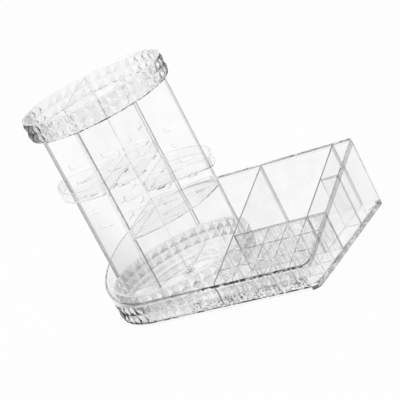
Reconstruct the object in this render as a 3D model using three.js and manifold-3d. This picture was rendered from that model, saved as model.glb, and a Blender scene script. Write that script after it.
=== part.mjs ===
// Rotating cosmetic storage box: a clear four tier tower that turns in the round end of a long base.
// The base has a diamond cut band, three rear compartments and a lipstick grid. Millimetres, +Z up.
// Everything is placed from the tower's axis; the finished group is moved so that its origin lies
// under the middle of the footprint, on the surface that the feet stand on.
import * as THREE from 'three';
import { mergeVertices } from 'three/addons/utils/BufferGeometryUtils.js';
import Module from 'manifold-3d';

const wasm = await Module();
wasm.setup();

const degree = Math.PI / 180;
const quarterTurn = 90;
const quarterCount = 4;
const halfTurn = 2 * quarterTurn;
const fullTurn = quarterCount * quarterTurn;

// Fits shared by all pieces
const seatGap = 0.3;
const rootDepth = 0.6;
const cutOverrun = 1;

// Base: outline, heights and walls
const baseRoundRadius = 107.6;
const baseRightReach = 252.5;
const backWallTop = 97.3;
const frontRimTop = 33.9;
const plainWall = 2.8;
const frontCornerRadius = 10;
const backCornerRadius = 5;
const skirtBottom = 0.8;
const floorUnderside = 4;
const floorThickness = 2.5;
const floorTop = floorUnderside + floorThickness;

// Base: diamond band
const roundCellCount = 24;
const frontCellCount = 17;
const rowCount = 2;
const baseBandBottom = 3.2;
const rimLipHeight = 3.7;
const baseValleyInset = 2.6;
const baseTipProud = 2;
const baseBandWall = 2.4;
const plinthInset = 0.8;

// Storage side: dividers and the lipstick grid
const towerDividerPlay = 1.7;
const dividerThickness = 2.4;
const gridColumnCount = 5;
const lastColumnTrim = 0.7;
const gridPitchY = 29;
const gridRowCount = 3;
const frontRowTrim = 1.4;
const gridRibThickness = 1.8;

// Feet
const footRadius = 8;
const footHeight = 2;
const footPadRadius = 9;
const footSetIn = 17.6;
const footCircleAngles = [135, 225];
const middleFootX = 105;
const rightFootSetIn = 16.5;

// Turntable in the well of the round end
const wellToPad = 4.6;
const wellWall = 2.4;
const wellUnderside = 1.6;
const wellFloorThickness = 2.5;
const ballRadius = 3;
const ballCount = 10;
const raceSetIn = 2;
const raceWidth = 20;
const raceHeight = 2.8;
const grooveDepth = 1.2;
const groovePlay = 0.15;
const cageWidth = 12;
const cageThickness = 1.2;
const cageHolePlay = 0.3;

// Pivot of the tower
const bossRadius = 6;
const bossPlay = 0.4;
const bossSetback = 0.3;
const screwRadius = 2;
const screwPlay = 0.3;
const screwFloor = 0.9;
const screwHeadRadius = 4.4;
const screwHeadHeight = 2.4;
const screwRecessWidth = 1.2;
const screwRecessDepth = 1.3;
const screwRecessReach = 2.6;
const washerRadius = 9.5;
const washerThickness = 1;

// Round diamond trays of the tower
const trayHeight = 28.8;
const trayFloor = 2.2;
const trayWall = 2.4;
const trayTipProud = 2;
const trayTipPlay = 2.6;
const trayCellCount = 40;
const trayLip = 1.7;
const trayLipProud = 0.9;
const trayEdgeBreak = 0.6;
const trayRise = 256.2;

// Cross partition between the trays
const partitionAngle = 13.1;
const webThickness = 2.4;
const postProud = 0.5;
const postDepth = 3.2;
const postWidth = 6.4;
const postBreak = 1.2;
const notchPlay = 0.7;
const lapHeightShare = 0.5;
const socketRibThickness = 1.6;
const socketRibHeight = 3;
const socketRibStart = 24;
const socketRibSetIn = 7.6;

// Hook slots in the partition
const slotTopDrop = 63.5;
const slotRowPitch = 22.55;
const slotRowCount = 5;
const slotInnerColumn = 24.8;
const slotOuterSetIn = 25;
const slotLength = 18;
const slotHeight = 2.4;
const slotTickWidth = 3;
const slotTickHeight = 6;

// Quarter shelf trays
const shelfProud = 0.5;
const shelfHeight = 14;
const shelfWall = 1.8;
const shelfFloor = 1.6;
const shelfAboveRow = 0.4;
const shelfPostPlay = 0.55;
const hookLength = 10;
const hookThickness = 1.6;
const hookPastWeb = 1;
const hookRoot = 4;
const hookSetIn = 1.2;

// Divider insert of the top tray
const insertBladeThickness = 1.8;
const insertDrop = 1.7;
const straightBladeAngle = 129.7;
const straightBladeBackSetIn = 4.6;
const straightBladeFrontSetIn = 2.6;
const bowStartSetIn = 9.6;
const bowEndSetIn = 18.7;
const bowEndAngle = -84.3;
const bowSagitta = 4.8;

// Smoothness of round shapes, in steps
const stepsPerCell = 2;
const cornerSteps = 6;
const grooveSteps = 4;
const smallRoundSteps = 24;
const ringSteps = 40;
const boreSteps = 10;
const ballDetail = 1;
const arcSteps = 12;
const shelfArcSteps = 16;

// Base: places that follow
const baseLowerInset = baseValleyInset + baseBandWall;
const baseBandTop = frontRimTop - rimLipHeight;
const frontBandEnd = baseRightReach - frontCornerRadius;
const halfDivider = dividerThickness / 2;
const halfRib = gridRibThickness / 2;
const dividerFoot = floorTop + seatGap;
const frontInnerY = seatGap + baseLowerInset - baseRoundRadius;
const backInnerY = baseRoundRadius - plainWall - seatGap;
const rightInnerX = baseRightReach - plainWall - seatGap;
const towerDividerX = baseRoundRadius + towerDividerPlay;
const gridPitchX = (baseRightReach - lastColumnTrim - towerDividerX) / gridColumnCount;
const rearDividerX = towerDividerX + (gridColumnCount - 1) * gridPitchX;
const midWallY = gridRowCount * gridPitchY - frontRowTrim - baseRoundRadius;
const smallWallY = (midWallY + backInnerY) / 2;
const footCircleRadius = baseRoundRadius - footSetIn;
const footColumnsX = [middleFootX, baseRightReach - rightFootSetIn];
const originShift = (baseRightReach - baseRoundRadius) / 2;

// Turntable and trays: places that follow
const wellFloorTop = wellUnderside + wellFloorThickness;
const wellRadius = footCircleRadius - footPadRadius - wellToPad - wellWall;
const ballCircleRadius = wellRadius - raceSetIn - raceWidth / 2;
const raceSplit = 2 * (ballRadius + groovePlay - grooveDepth);
const lowerRaceBottom = wellFloorTop + seatGap;
const upperRaceBottom = lowerRaceBottom + raceHeight + raceSplit;
const ballCentreZ = upperRaceBottom - raceSplit / 2;
const bottomTrayZ = upperRaceBottom + raceHeight + seatGap;
const topTrayZ = bottomTrayZ + trayRise;
const bottomTrayTop = bottomTrayZ + trayHeight;
const bottomTrayFloorTop = bottomTrayZ + trayFloor;
const trayTipRadius = baseRoundRadius - baseLowerInset - trayTipPlay;
const trayValleyRadius = trayTipRadius - trayTipProud;
const trayInnerRadius = trayValleyRadius - trayWall;
const trayStepAngle = fullTurn / (trayCellCount * stepsPerCell);
const insideTrayReach = trayInnerRadius * Math.cos(trayStepAngle * degree) - seatGap;
const bossTop = bottomTrayFloorTop - bossSetback;
const washerBottom = bottomTrayFloorTop + seatGap;
const screwHeadBottom = washerBottom + washerThickness + seatGap;
const screwTop = screwHeadBottom + screwHeadHeight;

// Partition and shelf trays: places that follow
const webSide = webThickness / 2 + seatGap;
const postReach = trayValleyRadius + postProud;
const panelBottom = bottomTrayFloorTop + seatGap;
const panelTop = topTrayZ - seatGap;
const panelStep = bottomTrayTop + seatGap;
const notchHalfWidth = washerRadius + notchPlay;
const notchTop = screwTop + notchPlay;
const lapZ = panelBottom + (panelTop - panelBottom) * lapHeightShare;
const slotColumns = [slotInnerColumn, postReach - slotOuterSetIn];
const slotTopRowZ = topTrayZ - slotTopDrop;
const shelfReach = trayTipRadius + shelfProud;

const clearPlastic = { color: 0xeef2f3, roughness: 0.08, metalness: 0 };
const milkyPlastic = { color: 0xf0f0ec, roughness: 0.3, metalness: 0 };
const steel = { color: 0xb9bcc0, roughness: 0.3, metalness: 1 };
const clearRubber = { color: 0xe4e6e4, roughness: 0.6, metalness: 0 };

// Height of the slanted plane that trims every wall and divider of the base.
function rimHeight(y) {
  const share = (y + baseRoundRadius) / (2 * baseRoundRadius);
  return frontRimTop + (backWallTop - frontRimTop) * share;
}

function onCircle(radius, angle, centre = [0, 0]) {
  return [centre[0] + radius * Math.cos(angle * degree), centre[1] + radius * Math.sin(angle * degree)];
}

function arcPoints(centre, radius, from, to, steps) {
  const points = [];
  for (let i = 0; i <= steps; i += 1) {
    points.push(onCircle(radius, from + ((to - from) * i) / steps, centre));
  }
  return points;
}

function signedVolume(geometry) {
  const position = geometry.attributes.position;
  const index = geometry.index;
  const corners = [new THREE.Vector3(), new THREE.Vector3(), new THREE.Vector3()];
  let sum = 0;
  for (let i = 0; i < index.count; i += 3) {
    corners.forEach((corner, k) => corner.fromBufferAttribute(position, index.getX(i + k)));
    sum += corners[0].dot(corners[1].clone().cross(corners[2]));
  }
  return sum;
}

// A closed three.js geometry becomes a solid with its faces outward.
function solidOf(geometry) {
  const bare = geometry.clone();
  bare.deleteAttribute('normal');
  bare.deleteAttribute('uv');
  const welded = mergeVertices(bare);
  const triangles = Uint32Array.from(welded.index.array);
  if (signedVolume(welded) < 0) {
    for (let i = 0; i < triangles.length; i += 3) {
      [triangles[i], triangles[i + 1]] = [triangles[i + 1], triangles[i]];
    }
  }
  const vertProperties = Float32Array.from(welded.attributes.position.array);
  return new wasm.Manifold(new wasm.Mesh({ numProp: 3, vertProperties, triVerts: triangles }));
}

function geometryOf(solid) {
  const mesh = solid.getMesh();
  const geometry = new THREE.BufferGeometry();
  geometry.setAttribute('position', new THREE.BufferAttribute(mesh.vertProperties, 3));
  geometry.setIndex(new THREE.BufferAttribute(mesh.triVerts, 1));
  geometry.computeVertexNormals();
  return geometry;
}

function joined(solids) {
  return solids.reduce((whole, solid) => whole.add(solid));
}

function cut(solid, cutters) {
  return cutters.reduce((rest, cutter) => rest.subtract(cutter), solid);
}

function extruded(points, depth) {
  const shape = new THREE.Shape(points.map(([a, b]) => new THREE.Vector2(a, b)));
  return new THREE.ExtrudeGeometry(shape, { depth, steps: 1, bevelEnabled: false });
}

// A plan outline standing between two heights.
function prism(points, bottom, top) {
  return solidOf(extruded(points, top - bottom).translate(0, 0, bottom));
}

// An outline in Y and Z carried along X.
function slabAlongX(points, left, right) {
  const turn = new THREE.Matrix4().makeBasis(
    new THREE.Vector3(0, 1, 0),
    new THREE.Vector3(0, 0, 1),
    new THREE.Vector3(1, 0, 0),
  );
  return solidOf(extruded(points, right - left).applyMatrix4(turn).translate(left, 0, 0));
}

// An outline in X and Z carried along Y.
function slabAlongY(points, front, back) {
  return solidOf(extruded(points, back - front).rotateX(Math.PI / 2).translate(0, back, 0));
}

function rectangle(left, right, low, high) {
  return [[left, low], [right, low], [right, high], [left, high]];
}

function block(left, right, front, back, bottom, top) {
  return prism(rectangle(left, right, front, back), bottom, top);
}

// A profile of radius and height points turned about the Z axis.
function turned(profile, steps) {
  const points = profile.map(([radius, height]) => new THREE.Vector2(radius, height));
  return solidOf(new THREE.LatheGeometry(points, steps).rotateX(Math.PI / 2));
}

function closedLoop(profile) {
  return [...profile, profile[0]];
}

function disc(radius, bottom, top, centre = [0, 0], steps = smallRoundSteps) {
  const geometry = new THREE.CylinderGeometry(radius, radius, top - bottom, steps);
  return solidOf(geometry.rotateX(Math.PI / 2).translate(centre[0], centre[1], (top + bottom) / 2));
}

function ring(inner, outer, bottom, top, steps = ringSteps) {
  return turned(closedLoop(rectangle(inner, outer, bottom, top)), steps);
}

function named(name, solid, look) {
  const mesh = new THREE.Mesh(geometryOf(solid), new THREE.MeshStandardMaterial(look));
  mesh.name = name;
  return mesh;
}

// Stations run anticlockwise round the object, two to a diamond cell, each with its outward normal.
function ringStations(radius, cellCount) {
  const stations = [];
  const count = cellCount * stepsPerCell;
  for (let i = 0; i < count; i += 1) {
    const angle = (fullTurn * i) / count;
    stations.push({ point: onCircle(radius, angle), normal: onCircle(1, angle) });
  }
  return stations;
}

function baseStations() {
  const radius = baseRoundRadius - baseValleyInset;
  const roundSteps = roundCellCount * stepsPerCell;
  const frontSteps = frontCellCount * stepsPerCell;
  const stations = [];
  for (let i = 0; i <= roundSteps; i += 1) {
    const angle = quarterTurn + (halfTurn * i) / roundSteps;
    stations.push({ point: onCircle(radius, angle), normal: onCircle(1, angle) });
  }
  for (let i = 1; i <= frontSteps; i += 1) {
    stations.push({ point: [(frontBandEnd * i) / frontSteps, -radius], normal: [0, -1] });
  }
  return stations;
}

function stationPoint(station, offset, z) {
  return [station.point[0] + station.normal[0] * offset, station.point[1] + station.normal[1] * offset, z];
}

// A band of square pyramids that stands on the stations' surface and is rooted a little behind it.
function facetBand(stations, closed, bottom, top, tipProud) {
  const triangles = [];
  const rowHeight = (top - bottom) / rowCount;
  const cellCount = (closed ? stations.length : stations.length - 1) / stepsPerCell;
  const at = (i, offset, z) => stationPoint(stations[i % stations.length], offset, z);
  const face = (...corners) => triangles.push(...corners.flat());
  for (let cell = 0; cell < cellCount; cell += 1) {
    const [left, middle, right] = [0, 1, 2].map((step) => cell * stepsPerCell + step);
    for (let row = 0; row < rowCount; row += 1) {
      const low = bottom + row * rowHeight;
      const high = low + rowHeight;
      const tip = at(middle, tipProud, (low + high) / 2);
      const rim = [
        at(left, 0, low), at(middle, 0, low), at(right, 0, low),
        at(right, 0, high), at(middle, 0, high), at(left, 0, high),
      ];
      rim.forEach((corner, i) => face(corner, rim[(i + 1) % rim.length], tip));
    }
    for (const [from, to] of [[left, middle], [middle, right]]) {
      const front = [at(from, 0, bottom), at(to, 0, bottom), at(to, 0, top), at(from, 0, top)];
      const rear = [
        at(from, -rootDepth, bottom), at(to, -rootDepth, bottom),
        at(to, -rootDepth, top), at(from, -rootDepth, top),
      ];
      face(rear[0], rear[3], rear[2]);
      face(rear[0], rear[2], rear[1]);
      face(front[3], front[2], rear[2]);
      face(front[3], rear[2], rear[3]);
      face(front[0], rear[0], rear[1]);
      face(front[0], rear[1], front[1]);
    }
  }
  if (!closed) {
    const last = stations.length - 1;
    for (let row = 0; row < rowCount; row += 1) {
      const low = bottom + row * rowHeight;
      face(at(0, -rootDepth, bottom), at(0, 0, low), at(0, 0, low + rowHeight));
      face(at(last, -rootDepth, bottom), at(last, 0, low + rowHeight), at(last, 0, low));
    }
    face(at(0, -rootDepth, bottom), at(0, 0, top), at(0, -rootDepth, top));
    face(at(last, -rootDepth, bottom), at(last, -rootDepth, top), at(last, 0, top));
  }
  const geometry = new THREE.BufferGeometry();
  geometry.setAttribute('position', new THREE.Float32BufferAttribute(triangles, 3));
  return solidOf(geometry);
}

// Plan outline of the base, set in by one amount along the diamond band and by another elsewhere.
function baseOutline(bandInset, plainInset) {
  const roundRadius = baseRoundRadius - bandInset;
  const rightX = baseRightReach - plainInset;
  const backY = baseRoundRadius - plainInset;
  const frontRadius = frontCornerRadius - plainInset;
  const backRadius = backCornerRadius - plainInset;
  const frontCentre = [rightX - frontRadius, frontRadius - roundRadius];
  const backCentre = [rightX - backRadius, backY - backRadius];
  const roundSteps = roundCellCount * stepsPerCell;
  const points = [
    ...arcPoints([0, 0], roundRadius, quarterTurn, quarterTurn + halfTurn, roundSteps),
    ...arcPoints(frontCentre, frontRadius, -quarterTurn, 0, cornerSteps),
    ...arcPoints(backCentre, backRadius, 0, quarterTurn, cornerSteps),
  ];
  return bandInset === plainInset ? points : [...points, [0, backY]];
}

// Strip of the plan that lies outside the band's face, moved in or out by an offset.
function bandStrip(stations, offset) {
  const plan = (station, distance) => stationPoint(station, distance, 0).slice(0, 2);
  const outside = stations.map((station) => plan(station, baseValleyInset + cutOverrun));
  const inside = stations.map((station) => plan(station, offset));
  return [...outside, ...inside.reverse()];
}

function aboveRimPlane() {
  const reach = baseRoundRadius + cutOverrun;
  const ceiling = backWallTop + baseRoundRadius;
  const slant = [[-reach, rimHeight(-reach)], [reach, rimHeight(reach)]];
  return slabAlongX([...slant, [reach, ceiling], [-reach, ceiling]], -reach, baseRightReach + cutOverrun);
}

function footCentres() {
  const onRound = footCircleAngles.map((angle) => onCircle(footCircleRadius, angle));
  const onStraight = footColumnsX.flatMap((x) => [[x, -footCircleRadius], [x, footCircleRadius]]);
  return [...onRound, ...onStraight];
}

function baseShell() {
  const stations = baseStations();
  const shell = prism(baseOutline(0, 0), skirtBottom, backWallTop + cutOverrun);
  const hollowed = cut(shell, [
    prism(baseOutline(plainWall, plainWall), frontRimTop, backWallTop + 2 * cutOverrun),
    prism(baseOutline(baseLowerInset, plainWall), floorTop, frontRimTop + cutOverrun),
    prism(baseOutline(baseLowerInset, plainWall), skirtBottom - cutOverrun, floorUnderside),
    prism(bandStrip(stations, 0), baseBandBottom, baseBandTop),
    prism(bandStrip(stations, -plinthInset), skirtBottom - cutOverrun, baseBandBottom),
    disc(wellRadius + wellWall, floorUnderside - cutOverrun, floorTop + cutOverrun, [0, 0], ringSteps),
    aboveRimPlane(),
  ]);
  const well = cut(disc(wellRadius + wellWall + rootDepth, wellUnderside, floorTop, [0, 0], ringSteps), [
    disc(wellRadius, wellFloorTop, floorTop + cutOverrun, [0, 0], ringSteps),
  ]);
  const pads = footCentres().map((centre) => (
    disc(footPadRadius, footHeight + seatGap, floorUnderside + rootDepth, centre)
  ));
  const boss = disc(bossRadius, wellFloorTop - rootDepth, bossTop);
  const whole = joined([
    hollowed,
    facetBand(stations, false, baseBandBottom, baseBandTop, baseTipProud),
    well,
    boss,
    ...pads,
  ]);
  const pilotBottom = wellUnderside + screwFloor;
  const pilot = disc(screwRadius + screwPlay, pilotBottom, bossTop + cutOverrun, [0, 0], boreSteps);
  return cut(whole, [pilot]);
}

// A wall between two X and two Y places whose top follows the slanted rim plane.
function slopedWall(left, right, front, back) {
  const slant = [[back, rimHeight(back)], [front, rimHeight(front)]];
  return slabAlongX([[front, dividerFoot], [back, dividerFoot], ...slant], left, right);
}

function towerSideDivider() {
  return slopedWall(towerDividerX - halfDivider, towerDividerX + halfDivider, frontInnerY, backInnerY);
}

function rearDivider() {
  const front = midWallY + halfDivider + seatGap;
  return slopedWall(rearDividerX - halfDivider, rearDividerX + halfDivider, front, backInnerY);
}

function midCrossWall() {
  const left = towerDividerX + halfDivider + seatGap;
  return slopedWall(left, rightInnerX, midWallY - halfDivider, midWallY + halfDivider);
}

function smallCrossWall() {
  const left = rearDividerX + halfDivider + seatGap;
  return slopedWall(left, rightInnerX, smallWallY - halfDivider, smallWallY + halfDivider);
}

function gridRibX(column) {
  return towerDividerX + column * gridPitchX;
}

function crossRibY(row) {
  return midWallY - row * gridPitchY;
}

function lapHeight(row) {
  return dividerFoot + (rimHeight(crossRibY(row)) - dividerFoot) * lapHeightShare;
}

// A rib that runs front to back, notched from below where the cross ribs pass.
function lipstickRib(column) {
  const x = gridRibX(column);
  const back = midWallY - halfDivider - seatGap;
  const rib = slopedWall(x - halfRib, x + halfRib, frontInnerY, back);
  const notchHalf = halfRib + seatGap;
  const notches = [];
  for (let row = 1; row < gridRowCount; row += 1) {
    const y = crossRibY(row);
    const top = lapHeight(row) + seatGap;
    notches.push(block(
      x - halfRib - cutOverrun, x + halfRib + cutOverrun,
      y - notchHalf, y + notchHalf,
      dividerFoot - cutOverrun, top,
    ));
  }
  return cut(rib, notches);
}

// A rib that runs left to right, notched from above where the long ribs pass.
function lipstickCrossRib(row) {
  const y = crossRibY(row);
  const left = towerDividerX + halfDivider + seatGap;
  const rib = slopedWall(left, rightInnerX, y - halfRib, y + halfRib);
  const notchHalf = halfRib + seatGap;
  const notches = [];
  for (let column = 1; column < gridColumnCount; column += 1) {
    const x = gridRibX(column);
    notches.push(block(
      x - notchHalf, x + notchHalf,
      y - halfRib - cutOverrun, y + halfRib + cutOverrun,
      lapHeight(row), rimHeight(y) + cutOverrun,
    ));
  }
  return cut(rib, notches);
}

// A flat ring with a ball groove; the groove is centred on the balls, above or below the ring.
function race(bottom) {
  const inner = ballCircleRadius - raceWidth / 2;
  const outer = ballCircleRadius + raceWidth / 2;
  const centre = [ballCircleRadius, ballCentreZ];
  const groove = arcPoints(centre, ballRadius + groovePlay, 0, fullTurn, quarterCount * grooveSteps);
  return cut(ring(inner, outer, bottom, bottom + raceHeight), [turned(groove, ringSteps)]);
}

function ballCentres() {
  const angles = Array.from({ length: ballCount }, (_, i) => (fullTurn * i) / ballCount);
  return angles.map((angle) => onCircle(ballCircleRadius, angle));
}

function ballCage() {
  const bottom = ballCentreZ - cageThickness / 2;
  const top = bottom + cageThickness;
  const plate = ring(ballCircleRadius - cageWidth / 2, ballCircleRadius + cageWidth / 2, bottom, top);
  const holes = ballCentres().map((centre) => (
    disc(ballRadius + cageHolePlay, bottom - cutOverrun, top + cutOverrun, centre, boreSteps)
  ));
  return cut(plate, holes);
}

function ball([x, y]) {
  return solidOf(new THREE.IcosahedronGeometry(ballRadius, ballDetail).translate(x, y, ballCentreZ));
}

function pivotWasher() {
  const top = washerBottom + washerThickness;
  return ring(screwRadius + screwPlay, washerRadius, washerBottom, top, smallRoundSteps);
}

function pivotScrew() {
  const tip = wellUnderside + screwFloor + seatGap;
  const body = turned([
    [0, tip],
    [screwRadius, tip],
    [screwRadius, screwHeadBottom],
    [screwHeadRadius, screwHeadBottom],
    [screwHeadRadius, screwHeadBottom + screwHeadHeight / 2],
    [screwRecessReach, screwTop],
    [0, screwTop],
  ], smallRoundSteps);
  const half = screwRecessWidth / 2;
  const recessBottom = screwTop - screwRecessDepth;
  return cut(body, [
    block(-screwRecessReach, screwRecessReach, -half, half, recessBottom, screwTop + cutOverrun),
    block(-half, half, -screwRecessReach, screwRecessReach, recessBottom, screwTop + cutOverrun),
  ]);
}

// One of the round trays, standing on its own underside at the height given.
function diamondTray(bottom) {
  const top = bottom + trayHeight;
  const floorHeight = bottom + trayFloor;
  const lipRadius = trayValleyRadius + trayLipProud;
  const steps = trayCellCount * stepsPerCell;
  const bowl = turned([
    [0, bottom],
    [trayValleyRadius - trayEdgeBreak, bottom],
    [trayValleyRadius, bottom + trayLip],
    [trayValleyRadius, top - trayLip],
    [lipRadius, top - trayLip],
    [lipRadius, top - trayEdgeBreak],
    [lipRadius - trayEdgeBreak, top],
    [trayInnerRadius, top],
    [trayInnerRadius, floorHeight],
    [0, floorHeight],
  ], steps);
  const stations = ringStations(trayValleyRadius, trayCellCount);
  return bowl.add(facetBand(stations, true, bottom + trayLip, top - trayLip, trayTipProud));
}

// Pairs of low ribs that hold the partition's webs, between two heights.
function socketRibs(bottom, top) {
  const ribs = [];
  for (let arm = 0; arm < quarterCount; arm += 1) {
    for (const side of [-1, 1]) {
      const near = side * webSide;
      const far = side * (webSide + socketRibThickness);
      const end = trayInnerRadius - socketRibSetIn;
      const plan = rectangle(socketRibStart, end, Math.min(near, far), Math.max(near, far));
      const geometry = extruded(plan, top - bottom).translate(0, 0, bottom);
      ribs.push(solidOf(geometry.rotateZ((partitionAngle + arm * quarterTurn) * degree)));
    }
  }
  return ribs;
}

function towerBottomTray() {
  const ribs = socketRibs(bottomTrayFloorTop - rootDepth, bottomTrayFloorTop + socketRibHeight);
  const bore = disc(bossRadius + bossPlay, bottomTrayZ - cutOverrun, bottomTrayFloorTop + cutOverrun);
  return cut(joined([diamondTray(bottomTrayZ), ...ribs]), [bore]);
}

function towerTopTray() {
  const ribs = socketRibs(topTrayZ - socketRibHeight, topTrayZ + rootDepth);
  return joined([diamondTray(topTrayZ), ...ribs]);
}

function webOutline() {
  const right = [
    [notchHalfWidth, notchTop],
    [notchHalfWidth, panelBottom],
    [insideTrayReach, panelBottom],
    [insideTrayReach, panelStep],
    [postReach, panelStep],
    [postReach, panelTop],
  ];
  const left = right.map(([x, z]) => [-x, z]).reverse();
  return [...right, ...left];
}

// The thick upright edge of a panel, with its outer corners broken.
function post(side, outerReach, bottom, top) {
  const inner = postReach - postDepth;
  const half = postWidth / 2;
  const plan = [
    [inner, -half],
    [outerReach - postBreak, -half],
    [outerReach, postBreak - half],
    [outerReach, half - postBreak],
    [outerReach - postBreak, half],
    [inner, half],
  ];
  return prism(plan.map(([x, y]) => [side * x, y]), bottom, top);
}

// A level slot with a short upright tick at one end.
function hookSlot(centre, rowZ, tickSide) {
  const half = slotLength / 2;
  const tick = half - slotTickWidth;
  const low = rowZ - slotHeight / 2;
  const outline = [
    [-half, low],
    [half, low],
    [half, low + slotTickHeight],
    [tick, low + slotTickHeight],
    [tick, low + slotHeight],
    [-half, low + slotHeight],
  ];
  const placed = outline.map(([x, z]) => [centre + tickSide * x, z]);
  return slabAlongY(placed, -webThickness, webThickness);
}

function slotRowZ(row) {
  return slotTopRowZ - row * slotRowPitch;
}

// A full width panel; its half lap slot opens at the top or at the bottom.
function partitionPanel(lapFromTop, tickSide) {
  const pieces = [slabAlongY(webOutline(), -webThickness / 2, webThickness / 2)];
  for (const side of [-1, 1]) {
    pieces.push(post(side, postReach, panelStep, panelTop));
  }
  const cutters = [];
  for (let row = 0; row < slotRowCount; row += 1) {
    for (const column of slotColumns) {
      cutters.push(hookSlot(-column, slotRowZ(row), tickSide), hookSlot(column, slotRowZ(row), tickSide));
    }
  }
  const low = lapFromTop ? lapZ - seatGap / 2 : panelBottom - cutOverrun;
  const high = lapFromTop ? panelTop + cutOverrun : lapZ + seatGap / 2;
  cutters.push(block(-webSide, webSide, -webThickness, webThickness, low, high));
  return cut(joined(pieces), cutters);
}

// Plan of a quarter tray in its own corner: X and Y run along the two panels that carry it.
function shelfOutline(inset) {
  const side = webSide + inset;
  const besidePost = postWidth / 2 + shelfPostPlay + inset;
  const reliefReach = postReach - postDepth - seatGap + webSide;
  const slant = reliefReach - besidePost - inset * (Math.SQRT2 - 1);
  const radius = shelfReach - inset;
  const edgeAngle = Math.asin(besidePost / radius) / degree;
  const low = [
    [side, side],
    [slant - shelfPostPlay + side - webSide, side],
    [slant - shelfPostPlay + besidePost - webSide, besidePost],
  ];
  const high = low.slice(1).map(([x, y]) => [y, x]).reverse();
  return [...low, ...arcPoints([0, 0], radius, edgeAngle, quarterTurn - edgeAngle, shelfArcSteps), ...high];
}

function shelfHooks() {
  const top = hookThickness / 2 - shelfAboveRow;
  const bottom = top - hookThickness;
  const outer = webThickness / 2 + hookPastWeb;
  const hooks = [];
  for (const column of slotColumns) {
    const start = column - slotLength / 2 + hookSetIn;
    hooks.push(block(start, start + hookLength, -outer, webSide + hookRoot, bottom, top));
    hooks.push(block(-outer, webSide + hookRoot, start, start + hookLength, bottom, top));
  }
  return hooks;
}

function shelfTray() {
  const bowl = cut(prism(shelfOutline(0), 0, shelfHeight), [
    prism(shelfOutline(shelfWall), shelfFloor, shelfHeight + cutOverrun),
  ]);
  return joined([bowl, ...shelfHooks()]);
}

// The top tray's insert: a straight blade across the tray and a bowed one that starts beside its end.
function bowedBlade(bottom, top) {
  const start = new THREE.Vector2(...onCircle(trayInnerRadius - bowStartSetIn, straightBladeAngle));
  const end = new THREE.Vector2(...onCircle(trayInnerRadius - bowEndSetIn, bowEndAngle));
  const chord = end.clone().sub(start);
  const half = chord.length() / 2;
  const radius = (half * half + bowSagitta * bowSagitta) / (2 * bowSagitta);
  const inward = new THREE.Vector2(-chord.y, chord.x).normalize();
  const centre = start.clone().add(end).multiplyScalar(1 / 2).addScaledVector(inward, radius - bowSagitta);
  const turnOf = (point) => Math.atan2(point.y - centre.y, point.x - centre.x) / degree;
  const from = turnOf(start);
  const to = turnOf(end) < from ? turnOf(end) + fullTurn : turnOf(end);
  const halfBlade = insertBladeThickness / 2;
  const outside = arcPoints([centre.x, centre.y], radius + halfBlade, from, to, arcSteps);
  const inside = arcPoints([centre.x, centre.y], radius - halfBlade, from, to, arcSteps);
  return prism([...outside, ...inside.reverse()], bottom, top);
}

function topTrayInsert() {
  const bottom = topTrayZ + trayFloor + seatGap;
  const top = topTrayZ + trayHeight - insertDrop;
  const half = insertBladeThickness / 2;
  const front = straightBladeFrontSetIn - trayInnerRadius;
  const back = trayInnerRadius - straightBladeBackSetIn;
  const blade = extruded(rectangle(front, back, -half, half), top - bottom).translate(0, 0, bottom);
  return solidOf(blade.rotateZ(straightBladeAngle * degree)).add(bowedBlade(bottom, top));
}

function foot(centre) {
  return disc(footRadius, 0, footHeight, centre);
}

function baseGroup() {
  const group = new THREE.Group();
  group.add(
    named('base_shell', baseShell(), clearPlastic),
    named('tower_side_divider', towerSideDivider(), clearPlastic),
    named('rear_divider', rearDivider(), clearPlastic),
    named('mid_cross_wall', midCrossWall(), clearPlastic),
    named('small_cross_wall', smallCrossWall(), clearPlastic),
    named('turntable_lower_race', race(lowerRaceBottom), clearPlastic),
    named('pivot_washer', pivotWasher(), steel),
    named('pivot_screw', pivotScrew(), steel),
  );
  for (let column = 1; column < gridColumnCount; column += 1) {
    group.add(named(`lipstick_rib_${column}`, lipstickRib(column), clearPlastic));
  }
  for (let row = 1; row < gridRowCount; row += 1) {
    group.add(named(`lipstick_cross_rib_${row}`, lipstickCrossRib(row), clearPlastic));
  }
  footCentres().forEach((centre, i) => group.add(named(`foot_${i + 1}`, foot(centre), clearRubber)));
  return group;
}

function bearingGroup() {
  const group = new THREE.Group();
  group.add(named('turntable_ball_cage', ballCage(), milkyPlastic));
  ballCentres().forEach((centre, i) => {
    group.add(named(`turntable_ball_${i + 1}`, ball(centre), milkyPlastic));
  });
  return group;
}

function towerGroup() {
  const group = new THREE.Group();
  group.add(
    named('turntable_upper_race', race(upperRaceBottom), clearPlastic),
    named('tower_bottom_tray', towerBottomTray(), clearPlastic),
    named('tower_top_tray', towerTopTray(), clearPlastic),
    named('top_tray_divider', topTrayInsert(), clearPlastic),
  );
  const partition = new THREE.Group();
  const panels = [
    named('partition_panel_side', partitionPanel(true, -1), clearPlastic),
    named('partition_panel_front', partitionPanel(false, 1), clearPlastic),
  ];
  panels.forEach((panel, i) => {
    panel.rotation.z = i * quarterTurn * degree;
    partition.add(panel);
  });
  // The shelf trays climb like a stair: front left highest, then back left, back right, front right.
  for (let i = 0; i < quarterCount; i += 1) {
    const shelf = named(`shelf_tray_${i + 1}`, shelfTray(), clearPlastic);
    shelf.position.z = slotRowZ(i + 1) + shelfAboveRow;
    shelf.rotation.z = (halfTurn - i * quarterTurn) * degree;
    partition.add(shelf);
  }
  partition.rotation.z = partitionAngle * degree;
  group.add(partition);
  return group;
}

const cosmeticBox = new THREE.Group();
cosmeticBox.add(baseGroup(), bearingGroup(), towerGroup());
cosmeticBox.position.x = -originShift;

export default cosmeticBox;
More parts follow.
